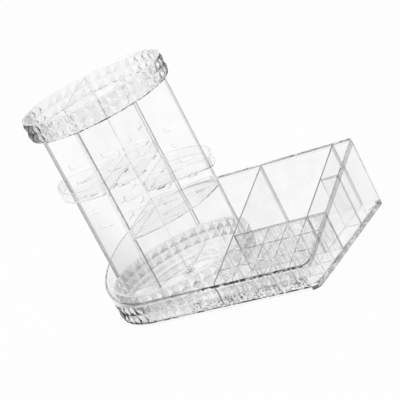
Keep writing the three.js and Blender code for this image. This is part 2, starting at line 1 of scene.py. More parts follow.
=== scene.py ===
"""Look of a rotating cosmetic storage box of clear plastic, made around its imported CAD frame.

Lengths in the classes are millimetres, measured from the tower's axis as in the CAD source. The
scene itself is in metres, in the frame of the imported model.
"""
import logging
import math
from collections.abc import Callable, Iterable, Mapping, Sequence
from dataclasses import dataclass, replace
from enum import Enum, IntEnum
from functools import cached_property, partial, reduce

import bmesh
import bpy
from mathutils import Matrix, Vector


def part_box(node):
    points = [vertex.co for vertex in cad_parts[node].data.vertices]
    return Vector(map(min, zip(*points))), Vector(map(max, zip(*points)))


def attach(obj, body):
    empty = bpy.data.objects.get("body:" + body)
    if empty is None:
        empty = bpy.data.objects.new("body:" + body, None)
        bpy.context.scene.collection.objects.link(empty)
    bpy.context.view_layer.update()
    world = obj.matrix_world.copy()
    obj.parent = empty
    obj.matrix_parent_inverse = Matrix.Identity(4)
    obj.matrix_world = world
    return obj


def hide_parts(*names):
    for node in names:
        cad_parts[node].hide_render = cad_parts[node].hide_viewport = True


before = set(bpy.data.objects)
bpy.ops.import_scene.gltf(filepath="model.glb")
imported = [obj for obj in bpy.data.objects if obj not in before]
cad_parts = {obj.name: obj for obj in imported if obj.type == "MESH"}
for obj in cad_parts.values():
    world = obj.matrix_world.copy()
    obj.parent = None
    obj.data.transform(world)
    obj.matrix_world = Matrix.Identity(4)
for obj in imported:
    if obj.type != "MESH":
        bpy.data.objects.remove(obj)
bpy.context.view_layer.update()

Span = tuple[float, float]
Triple = tuple[float, float, float]
Socket = bpy.types.NodeSocket
Material = bpy.types.Material
Mesh = bpy.types.Mesh
Sorter = Callable[[Vector, Vector, bool], int]

LOG = logging.getLogger("cosmetic_box")

# Metres in a millimetre, and the place of the tower's axis in X.
MM = 0.001
AXIS_X = -72.45
# The slanted rim: its heights at the front and the back, and at the axis.
RIM_FRONT, RIM_BACK, BASE_DEPTH = 33.9, 97.3, 215.2
RIM_SLOPE = (RIM_BACK - RIM_FRONT) / BASE_DEPTH
RIM_LEVEL = RIM_FRONT + RIM_SLOPE * BASE_DEPTH / 2
# Lowest and highest place of the base's diamond band, and the undersides of the round trays.
CUT_LOW, CUT_HIGH = 3.2, 30.2
LOW_TRAY, TOP_TRAY = 14.2, 270.4
# Turn of the partition's arms from the base's length.
ARM_TURN = math.radians(13.1)

# Directions that bands and faces are measured along.
X_WAY, Y_WAY, Z_WAY = (1.0, 0.0, 0.0), (0.0, 1.0, 0.0), (0.0, 0.0, 1.0)
ARM_WAY = (math.cos(ARM_TURN), math.sin(ARM_TURN), 0.0)
UNDER_RIM = (0.0, -RIM_SLOPE, 1.0)
WHOLE = (0.0, 1.0)


class Body(Enum):
    """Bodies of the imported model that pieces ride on."""

    BASE = "base"
    BEARING = "bearing"
    TOWER = "tower"


class Slot(Enum):
    """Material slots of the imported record."""

    CLEAR = "clear_plastic"
    PANEL = "panel_plastic"
    BEARING = "bearing_plastic"
    RUBBER = "foot_rubber"


class Input(Enum):
    """Kinds of a geometry tree's inputs."""

    SHAPE = "NodeSocketGeometry"
    COUNT = "NodeSocketInt"
    SIZE = "NodeSocketFloat"
    PLACE = "NodeSocketVector"


class ShellFace(IntEnum):
    """Faces of the base shell, in the order of its finishes."""

    WALL, CUT, RIM, LIP, EDGE, STRIP = range(6)


class WallFace(IntEnum):
    """Faces of a divider or rib, in the order of its finishes."""

    SIDE, TOP, EDGE = range(3)


class PanelFace(IntEnum):
    """Faces of a partition panel, in the order of its finishes."""

    WEB, POST, SLOT, CORNER, EDGE = range(5)


class ShelfFace(IntEnum):
    """Faces of a shelf tray, in the order of its finishes."""

    LEVEL, EDGE, FOOT, WALL = range(4)


def grey(share: float) -> tuple[float, float, float, float]:
    """Give the grey that keeps a share of the light."""
    return share, share, share, 1.0


class Graph:
    """Short hand for adding linked nodes to one node tree."""

    def __init__(self, tree: bpy.types.NodeTree) -> None:
        """Start on a tree, whose nodes are cleared."""
        self.tree = tree
        tree.nodes.clear()

    def node(self, kind: str, feeds: Mapping[str | int, object] | None = None,
             **settings: object) -> bpy.types.Node:
        """Add a node, set its properties and feed its inputs.

        Args:
            kind: Type name of the node.
            feeds: What its inputs get, by name or place: a plain value, an output socket, or a
                node whose first output is meant.
            settings: Properties of the node by name.

        Returns:
            The new node.
        """
        made = self.tree.nodes.new(kind)
        for name, value in settings.items():
            setattr(made, name, value)
        for key, value in (feeds or {}).items():
            if isinstance(value, bpy.types.Node):
                value = value.outputs[0]
            if isinstance(value, Socket):
                self.tree.links.new(value, made.inputs[key])
            else:
                made.inputs[key].default_value = value
        return made

    def maths(self, operation: str, *values: object) -> Socket:
        """Add a Math node that works on sockets or numbers."""
        return self.node("ShaderNodeMath", dict(enumerate(values)), operation=operation).outputs[0]

    def product(self, *values: object) -> Socket:
        """Multiply sockets or numbers with one another."""
        return reduce(partial(self.maths, "MULTIPLY"), values)

    def vector(self, operation: str, *values: object) -> Socket:
        """Add a Vector Math node that works on sockets or triples."""
        made = self.node("ShaderNodeVectorMath", dict(enumerate(values)), operation=operation)
        return made.outputs["Value" if operation == "DOT_PRODUCT" else 0]

    def split(self, whole: object) -> Sequence[Socket]:
        """Give the three parts of a vector."""
        return self.node("ShaderNodeSeparateXYZ", {0: whole}).outputs

    def joined(self, *parts: object) -> Socket:
        """Make a vector of its parts."""
        return self.node("ShaderNodeCombineXYZ", dict(enumerate(parts))).outputs[0]

    def ramp(self, value: object, span: Span, ends: tuple[object, object],
             smooth: bool = False) -> Socket:
        """Carry a value from one span to another, held at the ends.

        Args:
            value: The value to carry.
            span: Where the change starts and ends.
            ends: Results before and after the span.
            smooth: Whether the change eases in and out.

        Returns:
            The result's socket.
        """
        feeds = dict(enumerate((value, *span, *ends)))
        kind = "SMOOTHSTEP" if smooth else "LINEAR"
        return self.node("ShaderNodeMapRange", feeds, interpolation_type=kind,
                         clamp=True).outputs[0]

    def seen(self, direct: float = 1.0) -> Socket:
        """Tell rays that show the white studio, straight, mirrored or through plastic.

        Args:
            direct: Brightness where the camera sees it straight.

        Returns:
            The brightness, which is 0 for rays that light the object.
        """
        path = self.node("ShaderNodeLightPath").outputs
        clear = self.maths("MAXIMUM", path["Is Glossy Ray"], path["Is Transmission Ray"])
        return self.maths("MAXIMUM", self.product(path["Is Camera Ray"], direct), clear)


class Surface(Graph):
    """Graph of a new material, with what its finish reads from the surface."""

    def __init__(self, name: str) -> None:
        """Start a material with an empty graph.

        Args:
            name: Name of the material.
        """
        self.material = bpy.data.materials.new(name)
        self.material.use_nodes = True
        super().__init__(self.material.node_tree)

    @cached_property
    def place(self) -> Socket:
        """Object coordinates."""
        return self.node("ShaderNodeTexCoord").outputs["Object"]

    @cached_property
    def lean(self) -> Socket:
        """Direction of each flat face in the piece's own space."""
        flat = self.node("ShaderNodeNewGeometry").outputs["True Normal"]
        return self.vector("NORMALIZE", self.node(
            "ShaderNodeVectorTransform", {0: flat}, vector_type="NORMAL", convert_from="WORLD",
            convert_to="OBJECT").outputs[0])

    @cached_property
    def glance(self) -> Socket:
        """How glancingly a face is met, 0 squarely and 1 along it."""
        return self.node("ShaderNodeLayerWeight", {"Blend": 0.5}).outputs["Facing"]

    @cached_property
    def inside(self) -> Socket:
        """Whether a face is met from inside the plastic."""
        return self.node("ShaderNodeNewGeometry").outputs["Backfacing"]

    def noise(self, scale: float, detail: float = 2.0, place: Socket | None = None) -> Socket:
        """Give a noise over the piece.

        Args:
            scale: Patches per metre.
            detail: Steps of finer noise in it.
            place: Where it is read, or none for Object coordinates.

        Returns:
            The level's socket.
        """
        feeds = {"Vector": self.place if place is None else place, "Scale": scale,
                 "Detail": detail}
        return self.node("ShaderNodeTexNoise", feeds).outputs["Fac"]

    def blend(self, share: object, first: object, second: object) -> bpy.types.Node:
        """Mix two shaders by the second one's share."""
        return self.node("ShaderNodeMixShader", {0: share, 1: first, 2: second})

    def close(self, shader: bpy.types.Node) -> Material:
        """End the graph in a shader and give the material."""
        self.node("ShaderNodeOutputMaterial", {0: shader})
        return self.material


@dataclass(frozen=True)
class Band:
    """Painted shade on a strip of a moulding, such as a fillet, a seam, a thick rim or a glancing
    side.

    Attributes:
        along: Direction that the strip is measured along.
        low: Where it starts, in millimetres from the tower's axis.
        high: Where it ends.
        share: Share of light that its painted shade leaves.
        facing: Direction that its faces look along, or none for all faces.
        soft: Width of its blurred ends in millimetres.
        broken: How much it comes and goes along its length.
        past: Where it starts to the right of the tower's axis, or none for the whole piece.
        grain: Patches per metre where it comes and goes.
        amount: Levels of the noise between which a patch sets in; higher ones give fewer patches.
        looking: How squarely a face has to look along the direction, from none to the whole.
    """

    along: Triple
    low: float
    high: float
    share: float
    facing: Triple | None = None
    soft: float = 0.3
    broken: float = 0.0
    past: float | None = None
    grain: float = 110.0
    amount: Span = (0.42, 0.56)
    looking: Span = (0.6, 0.8)

    def kept(self, surface: Surface) -> Socket:
        """Give the share of light that the painted shade leaves at each place.

        Args:
            surface: The material's graph.

        Returns:
            The share's socket.
        """
        reach = surface.vector("DOT_PRODUCT", surface.place, self.along)
        low, high = ((value + AXIS_X * self.along[0]) * MM for value in (self.low, self.high))
        soft = self.soft * MM
        taken = surface.product(surface.ramp(reach, (low, low + soft), (0.0, 1.0 - self.share)),
                                surface.ramp(reach, (high - soft, high), (1.0, 0.0)))
        if self.facing is not None:
            look = surface.vector("DOT_PRODUCT", surface.lean, self.facing)
            look = surface.ramp(surface.maths("ABSOLUTE", look), self.looking, WHOLE)
            taken = surface.product(taken, look)
        if self.past is not None:
            start = (self.past + AXIS_X) * MM
            across = surface.vector("DOT_PRODUCT", surface.place, X_WAY)
            taken = surface.product(taken, surface.ramp(across, (start, start + soft), WHOLE))
        if self.broken:
            patches = surface.ramp(surface.noise(self.grain, detail=1.0), self.amount,
                                   (1.0 - self.broken, 1.0), smooth=True)
            taken = surface.product(taken, patches)
        return surface.maths("SUBTRACT", 1.0, taken)


# Glances, levels of noise and leans of faces over which a finish goes from one value to another.
FACE_GLANCE, MIRROR_GLANCE = (0.45, 0.98), (0.2, 0.85)
CLOUD_LEVEL, CHANCE_LEVEL, GRAIN_LEVEL = (0.35, 0.65), (0.1, 0.6), (0.3, 0.7)
FLOOR_LEAN, FACET_LEAN = (0.7, 0.97), (0.08, 0.14)
# How strongly painted shade darkens facets that lean to the right or down, against ones that lean
# up.
RIGHT_SHADE, LOWER_SHADE = 0.6, 0.25
# Step in millimetres by which the planes of facets are told apart.
PLANE_STEP = 0.2


@dataclass(frozen=True)
class ClearPlastic:
    """Water clear moulded plastic, whose faces keep a share of the light that meets them, as
    painted shade.

    Attributes:
        name: Name of the material.
        square: Share of light let through where a face is met squarely; what it holds back is
            painted shade.
        glancing: Share let through where it is met at a glance; what it holds back is painted
            shade.
        outer: Painted brightness of outer reflections, met squarely and at a glance, darker than
            the white studio.
        inner: Painted brightness of reflections inside the wall.
        bands: Strips of painted shade.
        unevenness: How much the clearness varies over the piece.
        grain: Patches per metre of that variation.
        upright: How much the patches are drawn out upright, less than 1 for streaks.
        level_clear: Whether level faces, such as floors, keep all the light.
        facet_shade: How much painted shade darkens a cut band's facets that lean up, right or
            down, or 0 without a cut.
        facet_back: The same where a facet is met from inside.
        facet_vary: How much the painted shade varies from facet to facet.
        straight_front: Whether the cut runs on along a straight front, right of the axis.
        turning: Glances between which painted shade turns a facet dark.
        glancing_inside: Share let through at a glance from inside a cut piece; what it holds back
            is painted shade.
        ripple: Height of the moulding ripple in millimetres.
        bend: Index of refraction.
        shadow: Share of light left in the piece's shadow.
    """

    name: str
    square: float = 0.99
    glancing: float = 0.97
    outer: Span = (0.45, 0.9)
    inner: float = 0.9
    bands: tuple[Band, ...] = ()
    unevenness: float = 0.012
    grain: float = 38.0
    upright: float = 1.0
    level_clear: bool = False
    facet_shade: float = 0.0
    facet_back: float = 0.0
    facet_vary: float = 0.0
    straight_front: bool = False
    turning: Span = (0.5, 0.7)
    glancing_inside: float = 0.85
    ripple: float = 0.02
    bend: float = 1.49
    shadow: float = 0.86

    def material(self) -> Material:
        """Build the material.

        Returns:
            The finished material.
        """
        surface = Surface(self.name)
        drawn_out = surface.vector("MULTIPLY", surface.place, (1.0, 1.0, self.upright))
        cloud = surface.noise(self.grain, place=drawn_out)
        ripple = surface.node("ShaderNodeBump", {"Strength": 1.0, "Distance": self.ripple * MM,
                                                 "Height": cloud})
        kept, bright = self.kept(surface, cloud), self.bright(surface)
        if self.level_clear:
            rise = surface.maths("ABSOLUTE", surface.split(surface.lean)[2])
            level = surface.ramp(rise, FLOOR_LEAN, WHOLE, smooth=True)
            kept, bright = (surface.ramp(level, WHOLE, (share, 1.0)) for share in (kept, bright))
        kept = surface.product(kept, *(band.kept(surface) for band in self.bands))
        # The refraction's colour carries the painted shade, and the mirror's colour the painted
        # brightness of reflections.
        through = surface.node("ShaderNodeBsdfRefraction", {"Color": kept, "Roughness": 0.0,
                                                            "IOR": self.bend})
        mirror = surface.node("ShaderNodeBsdfGlossy", {"Color": bright, "Roughness": 0.0,
                                                       "Normal": ripple})
        fresnel = surface.node("ShaderNodeFresnel", {"IOR": self.bend})
        veil = surface.node("ShaderNodeBsdfTransparent", {"Color": grey(self.shadow)})
        shadow = surface.node("ShaderNodeLightPath").outputs["Is Shadow Ray"]
        body = surface.blend(fresnel, through, mirror)
        return surface.close(surface.blend(shadow, body, veil))

    def bright(self, surface: Surface) -> object:
        """Give the painted brightness of reflections.

        Args:
            surface: The material's graph.

        Returns:
            The brightness's socket, or a plain grey where it is the same all over.
        """
        if self.outer == (self.inner, self.inner) and not self.level_clear:
            return grey(self.inner)
        outside = surface.ramp(surface.glance, MIRROR_GLANCE, self.outer)
        return surface.ramp(surface.inside, WHOLE, (outside, self.inner))

    def kept(self, surface: Surface, cloud: Socket) -> Socket:
        """Give the share of light that a face keeps by how it is met, as painted shade, without
        its bands.

        Args:
            surface: The material's graph.
            cloud: Level of the noise over the piece.

        Returns:
            The share's socket.
        """
        def by_glance(glancing: float) -> Socket:
            """Fade from the square share to a glancing one."""
            return surface.ramp(surface.glance, FACE_GLANCE, (self.square, glancing), smooth=True)

        clouded = surface.ramp(cloud, CLOUD_LEVEL, (1.0 - self.unevenness, 1.0), smooth=True)
        if not self.facet_shade:
            return surface.product(by_glance(self.glancing), clouded)
        chance = self.facet_chance(surface)
        turned = surface.ramp(surface.glance, self.turning, (0.0, 1.0 - self.glancing))
        crisp = surface.maths("SUBTRACT", self.square, surface.product(turned, chance))
        kept = surface.ramp(surface.inside, WHOLE, (crisp, by_glance(self.glancing_inside)))
        return surface.product(kept, clouded, self.painted_facet_shade(surface, chance))

    def facet_chance(self, surface: Surface) -> Socket:
        """Give every flat facet its own share of the painted shade, by how far its plane lies.

        Args:
            surface: The material's graph.

        Returns:
            The share's socket.
        """
        plane = surface.vector("DOT_PRODUCT", surface.place, surface.lean)
        number = surface.product(surface.maths("SNAP", plane, PLANE_STEP * MM), 1.0 / MM)
        chance = surface.node("ShaderNodeTexWhiteNoise", {"W": number}, noise_dimensions="1D")
        return surface.ramp(chance.outputs["Value"], CHANCE_LEVEL, (1.0 - self.facet_vary, 1.0))

    def painted_facet_shade(self, surface: Surface, chance: Socket) -> Socket:
        """Paint shade on a cut band's facets by the way each one leans on its own wall.

        Args:
            surface: The material's graph.
            chance: Each facet's own share of the shading.

        Returns:
            Share of light that each facet keeps.
        """
        across, forth, _ = surface.split(surface.place)
        across = surface.maths("SUBTRACT", across, AXIS_X * MM)
        if self.straight_front:
            across = surface.maths("MINIMUM", across, 0.0)
        round_way = surface.joined(surface.product(forth, -1.0), across)
        sideways = surface.vector("DOT_PRODUCT", surface.lean,
                                  surface.vector("NORMALIZE", round_way))
        rise = surface.split(surface.lean)[2]
        upper = surface.ramp(rise, FACET_LEAN, WHOLE)
        right = surface.ramp(sideways, FACET_LEAN, (0.0, RIGHT_SHADE))
        lower = surface.ramp(surface.product(rise, -1.0), FACET_LEAN, (0.0, LOWER_SHADE))
        shaded = reduce(partial(surface.maths, "MAXIMUM"), (upper, right, lower))
        depth = surface.ramp(surface.inside, WHOLE, (self.facet_shade, self.facet_back))
        return surface.maths("SUBTRACT", 1.0, surface.product(shaded, depth, chance))


@dataclass(frozen=True)
class Steel:
    """Plain bright steel with fine turning marks.

    Attributes:
        name: Name of the material.
        colour: Its colour.
        marks: Marks per metre.
        depth: Their depth in millimetres.
        roughness: Smallest and largest roughness.
    """

    name: str = "screw_steel_turned"
    colour: Triple = (0.84, 0.84, 0.85)
    marks: float = 900.0
    depth: float = 0.03
    roughness: Span = (0.22, 0.38)

    def material(self) -> Material:
        """Build the material.

        Returns:
            The finished material.
        """
        surface = Surface(self.name)
        marks = surface.noise(self.marks)
        return surface.close(surface.node("ShaderNodeBsdfPrincipled", {
            "Base Color": (*self.colour, 1.0), "Metallic": 1.0,
            "Roughness": surface.ramp(marks, GRAIN_LEVEL, self.roughness),
            "Normal": surface.node("ShaderNodeBump", {"Distance": self.depth * MM,
                                                      "Height": marks}),
        }))


@dataclass(frozen=True)
class StudioGround:
    """White floor that shows as the white background and still takes the object's shadow.

    Attributes:
        name: Name of the material.
        direct: Share of plain white in what the camera sees.
        albedo: Darkest and lightest grey that the light falls on.
        patches: Patches per metre between the two.
    """

    name: str = "studio_ground"
    direct: float = 0.95
    albedo: Span = (0.8, 0.81)
    patches: float = 6.0

    def material(self) -> Material:
        """Build the material.

        Returns:
            The finished material.
        """
        surface = Surface(self.name)
        colour = surface.ramp(surface.noise(self.patches), GRAIN_LEVEL, self.albedo)
        paper = surface.node("ShaderNodeBsdfDiffuse", {"Color": colour})
        glow = surface.node("ShaderNodeEmission", {"Color": grey(1.0), "Strength": 1.0})
        return surface.close(surface.blend(surface.seen(self.direct), paper, glow))


# The panes: painted shade, darker towards the lower left on faces that look front or back, and a
# very faint band of it from 100 to 290 mm up.
PANE = ClearPlastic(
    "tower_pane", square=0.996, glancing=0.997, outer=(0.9, 1.0), inner=0.995,
    bands=(Band((-0.9, 0.0, -0.45), -5.0, 150.0, 0.91, Y_WAY, soft=50.0),
           Band(Z_WAY, 100.0, 290.0, 0.993, soft=20.0)))
# The panes' edges: painted shade for the grey lines that clear edges show.
PANE_EDGE = ClearPlastic("tower_pane_edge", square=0.85, glancing=0.8, outer=(0.8, 1.0))
SLOT_WALL = ClearPlastic("tower_slot", square=1.0, glancing=1.0, outer=(1.0, 1.0), inner=1.0)
# The posts: painted shade in lines beside the middle, at the left arm's end and at the right arm's
# end, and darker painted shade on their rounded edges.
POST = ClearPlastic(
    "tower_post", square=0.985, glancing=0.85, outer=(0.8, 1.0), inner=0.96,
    bands=(Band(ARM_WAY, 2.2, 3.5, 0.5), Band(ARM_WAY, -101.0, -95.0, 0.76),
           Band(ARM_WAY, 97.7, 99.5, 0.7)))
POST_EDGE = replace(POST, name="tower_post_edge", square=0.88, glancing=0.75, outer=(0.6, 0.8),
                    inner=0.85)
# The walls: painted shade in two lines under the rim, at the foot, along the back's top in two
# lines, at the back corner and at the front's right corner.
WALL = ClearPlastic(
    "base_wall", glancing=0.98, outer=(0.6, 0.95), inner=0.994, level_clear=True,
    bands=(Band(UNDER_RIM, RIM_LEVEL - 6.2, RIM_LEVEL, 0.8, X_WAY, past=100.0),
           Band(UNDER_RIM, RIM_LEVEL - 6.2, RIM_LEVEL - 5.2, 0.8, X_WAY, past=100.0),
           Band(Z_WAY, 0.0, 8.5, 0.66, X_WAY, broken=0.5),
           Band(Z_WAY, 95.0, 98.0, 0.6, Y_WAY), Band(Z_WAY, 92.6, 93.3, 0.88, Y_WAY),
           Band(Y_WAY, 104.6, 107.8, 0.6, X_WAY), Band(Z_WAY, 0.0, 5.8, 0.4, Y_WAY, past=241.0)))
# The front's strip, whose dark line of painted shade breaks up before the lipstick grid.
STRIP = replace(
    WALL, name="base_strip",
    bands=(Band(Z_WAY, 32.2, 34.4, 0.2, past=85.0, broken=1.0, grain=150.0, amount=(0.46, 0.52)),
           Band(Z_WAY, 32.4, 34.4, 0.75)))
# The dividers: painted shade at the back end, the front end, in the line under the rim and at the
# joints with the walls that cross them.
DIVIDER = ClearPlastic(
    "base_divider", glancing=0.98, outer=(0.6, 0.95), inner=0.98,
    bands=(Band(Y_WAY, 97.5, 106.0, 0.82), Band(Y_WAY, -106.0, -102.6, 0.05),
           Band(UNDER_RIM, RIM_LEVEL - 1.6, RIM_LEVEL + 2.0, 0.6, Y_WAY),
           Band(X_WAY, 110.8, 112.4, 0.2, Y_WAY, broken=0.5),
           Band(X_WAY, 220.8, 222.4, 0.45, Y_WAY, broken=0.4),
           Band(X_WAY, 247.6, 250.4, 0.6, Y_WAY)))
MID_WALL = replace(DIVIDER, name="base_mid_wall", unevenness=0.12, grain=260.0, upright=0.35)
# The rim and the rounded edges: painted shade for the grey lines that clear edges show.
RIM = ClearPlastic("base_rim", square=0.96, glancing=0.93, outer=(0.9, 1.0), inner=0.98,
                   unevenness=0.15)
WALL_EDGE = ClearPlastic("base_edge", square=0.9, glancing=0.82, outer=(0.8, 0.95), inner=0.93,
                         unevenness=0.3)
# The front lip: painted shade, dark all along and near black in broken dashes right of the axis.
LIP = ClearPlastic(
    "base_lip", square=0.55, glancing=0.4, outer=(0.4, 0.6), inner=0.4, unevenness=0.5, grain=70.0,
    bands=(Band(X_WAY, 85.0, 245.0, 0.03, broken=1.0, soft=8.0, grain=150.0,
                amount=(0.46, 0.52)),))
# The lipstick grid's ribs: faint painted shade, and more of it on their edges.
RIB = ClearPlastic("base_rib", square=1.0, glancing=0.997, outer=(0.85, 1.0), inner=0.998,
                   unevenness=0.04, grain=300.0, upright=0.3)
RIB_EDGE = ClearPlastic("rib_edge", square=0.98, glancing=0.9, outer=(0.7, 0.9), inner=0.95,
                        unevenness=0.5, grain=90.0)
# The trays: painted shade in the top one's broken foot line and its dark left end, and on the cut
# facets by their lean.
BOWL = ClearPlastic("tray_wall", square=0.995, glancing=0.98, outer=(0.7, 1.0), inner=0.985,
                    level_clear=True,
                    bands=(Band(Z_WAY, TOP_TRAY, TOP_TRAY + 1.8, 0.08, broken=0.85),))
TOP_CUT = ClearPlastic(
    "top_tray_cut", square=0.995, glancing=0.2, outer=(0.4, 0.1), inner=0.93, facet_shade=0.16,
    facet_back=0.18, facet_vary=0.6, turning=(0.47, 0.63),
    bands=(Band((-0.79, -0.61, 0.0), 84.0, 104.0, 0.55, soft=10.0),))
LOW_CUT = ClearPlastic("low_tray_cut", square=0.995, glancing=0.65, outer=(0.7, 0.8), inner=0.95,
                       facet_shade=0.25, facet_back=0.42, facet_vary=0.35)
# The base's cut band: painted shade in its foot line, its top line and the specks before the
# lipstick grid, and on its facets by their lean.
BASE_CUT = ClearPlastic(
    "base_cut", glancing=0.0, outer=(0.5, 0.0), inner=0.965, facet_shade=0.3, facet_back=0.06,
    facet_vary=0.85, straight_front=True, turning=(0.45, 0.63),
    bands=(Band(Z_WAY, CUT_LOW, 5.8, 0.1, broken=0.65),
           Band(Z_WAY, 29.3, 30.3, 0.5, broken=0.6),
           Band(Z_WAY, CUT_LOW, 19.0, 0.4, Y_WAY, soft=2.0, broken=1.0, past=60.0, grain=330.0,
                amount=(0.54, 0.62))))
# The shelves: faint painted shade on their faces, more on their edges, and near black broken
# dashes of it on their foot edges.
SHELF = ClearPlastic("shelf_wall", square=0.996, glancing=0.99, outer=(0.85, 1.0), inner=0.985)
SHELF_LINE = ClearPlastic("shelf_line", square=0.97, glancing=0.9, outer=(0.8, 0.9),
                          bands=(Band(Z_WAY, 0.0, 300.0, 0.0, broken=0.96),))
SHELF_EDGE = ClearPlastic("shelf_edge", square=0.98, glancing=0.95, outer=(0.85, 1.0), inner=0.96,
                          unevenness=0.4)
RACE = ClearPlastic("race_clear", square=1.0, glancing=1.0, outer=(1.0, 1.0), inner=1.0,
                    bend=1.05, unevenness=0.004)
FOOT = ClearPlastic("foot_clear", square=1.0, outer=(0.9, 1.0), inner=0.97, bend=1.1)


def made(*finishes: ClearPlastic | Steel) -> tuple[Material, ...]:
    """Build the materials of some finishes."""
    return tuple(finish.material() for finish in finishes)


def rim_height(y: float) -> float:
    """Give the height in millimetres of the slanted rim plane at a place in Y."""
    return RIM_LEVEL + RIM_SLOPE * y


def place_of(point: Iterable[float]) -> Vector:
    """Turn a place in millimetres from the tower's axis into one in the scene."""
    x, y, z = point
    return Vector(((x + AXIS_X) * MM, y * MM, z * MM))


def added(name: str, data: bpy.types.ID) -> bpy.types.Object:
    """Add an object with its data to the scene.

    Args:
        name: Name of the object.
        data: Its mesh, camera or lamp.

    Returns:
        The new object.
    """
    piece = bpy.data.objects.new(name, data)
    bpy.context.scene.collection.objects.link(piece)
    return piece


def baked(holder: bpy.types.Object) -> Mesh:
    """Apply an object's modifiers and remove it.

    Args:
        holder: The object, with modifiers.

    Returns:
        The finished mesh.
    """
    reading = holder.evaluated_get(bpy.context.evaluated_depsgraph_get())
    finished = bpy.data.meshes.new_from_object(reading)
    source = holder.data
    bpy.data.objects.remove(holder)
    bpy.data.meshes.remove(source)
    return finished


def mesh_of(shape: bmesh.types.BMesh, name: str) -> Mesh:
    """Turn a shape into a mesh and free the shape.

    Args:
        shape: The shape.
        name: Name of the mesh.

    Returns:
        The new mesh.
    """
    mesh = bpy.data.meshes.new(name)
    shape.to_mesh(mesh)
    shape.free()
    return mesh


def object_of(name: str, mesh: Mesh, materials: Sequence[Material]) -> bpy.types.Object:
    """Put a finished mesh into the scene as an object at the origin.

    Args:
        name: Name of the piece.
        mesh: Its mesh, already in place.
        materials: Its materials in the order of the faces' indices.

    Returns:
        The new object.
    """
    mesh.name = name
    order = {index: materials.index(held) for index, held in enumerate(mesh.materials)
             if held in materials}
    indices = [order.get(face.material_index, face.material_index) for face in mesh.polygons]
    mesh.materials.clear()
    for material in materials:
        mesh.materials.append(material)
    mesh.polygons.foreach_set("material_index", indices)
    return added(name, mesh)


def put(name: str, mesh: Mesh, materials: Sequence[Material], body: str, nodes: Sequence[str],
        slot: Slot) -> None:
    """Put a piece into the scene, tied to its body, and hide the nodes it stands for.

    Args:
        name: Name of the piece.
        mesh: Its mesh.
        materials: Its materials in the order of the faces' indices.
        body: Body that it rides on.
        nodes: CAD nodes that it replaces.
        slot: Material slot of the record; not used.
    """
    piece = object_of(name, mesh, materials)
    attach(piece, body)
    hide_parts(*nodes)
    LOG.info("%s: %d faces, rides on %s", piece.name, len(piece.data.polygons), body)


def repaint(node: str, finish: Material) -> None:
    """Give a CAD node that stays in view a better material.

    Args:
        node: Name of the node.
        finish: Its material.
    """
    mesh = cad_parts[node].data
    mesh.materials.clear()
    mesh.materials.append(finish)
    LOG.info("%s: keeps its CAD shape in %s", node, finish.name)


@dataclass
class RoundedCopy:
    """A merged copy of a CAD node with every sharp edge rounded as moulded plastic is.

    Attributes:
        node: Name of the CAD node.
        rounding: Radius of the rounded edges in millimetres.
        split: Whether faces with more than four corners are cut into triangles first.
        segments: Steps across a rounded edge.
        sharp: Smallest angle between two faces, in degrees, that is rounded.
        flat: Largest angle, in degrees, at which two faces are one.
        gap: Largest gap between two corners that are one.
    """

    node: str
    rounding: float = 0.45
    split: bool = False
    segments: int = 3
    sharp: float = 38.0
    flat: float = 0.6
    gap: float = 0.002

    def plain(self) -> Mesh:
        """Merge the node's triangles into flat faces, with an empty slot for the edges.

        Returns:
            The merged mesh.
        """
        shape = bmesh.new()
        shape.from_mesh(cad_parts[self.node].data)
        bmesh.ops.remove_doubles(shape, verts=shape.verts, dist=self.gap * MM)
        bmesh.ops.dissolve_limit(shape, angle_limit=math.radians(self.flat), verts=shape.verts,
                                 edges=shape.edges)
        if self.split:
            many = [face for face in shape.faces if len(face.verts) > 4]
            bmesh.ops.triangulate(shape, faces=many, ngon_method="BEAUTY")
        for face in shape.faces:
            face.smooth = False
            face.material_index = 0
        plain = mesh_of(shape, self.node + "_plain")
        for _ in range(2):
            plain.materials.append(None)
        return plain

    def mesh(self, sort: Sorter) -> Mesh:
        """Build the rounded mesh.

        Args:
            sort: Gives a face's material index from its middle, in millimetres, its normal and
                whether it belongs to a rounded edge.

        Returns:
            The finished mesh.
        """
        plain = self.plain()
        places = [corner.co.copy() for corner in plain.vertices]
        low, high = ([pick(place[i] for place in places) for i in range(3)]
                     for pick in (min, max))
        holder = added(self.node + "_holder", plain)
        bevel = holder.modifiers.new("rounded", "BEVEL")
        bevel.width = self.rounding * MM
        bevel.segments = self.segments
        bevel.limit_method = "ANGLE"
        bevel.angle_limit = math.radians(self.sharp)
        bevel.miter_outer = "MITER_SHARP"
        bevel.material = 1
        finished = baked(holder)
        for corner in finished.vertices:
            corner.co = [min(max(value, least), most)
                         for value, least, most in zip(corner.co, low, high)]
        for face in finished.polygons:
            middle = face.center / MM - Vector((AXIS_X, 0.0, 0.0))
            face.material_index = int(sort(middle, face.normal, face.material_index == 1))
        return finished


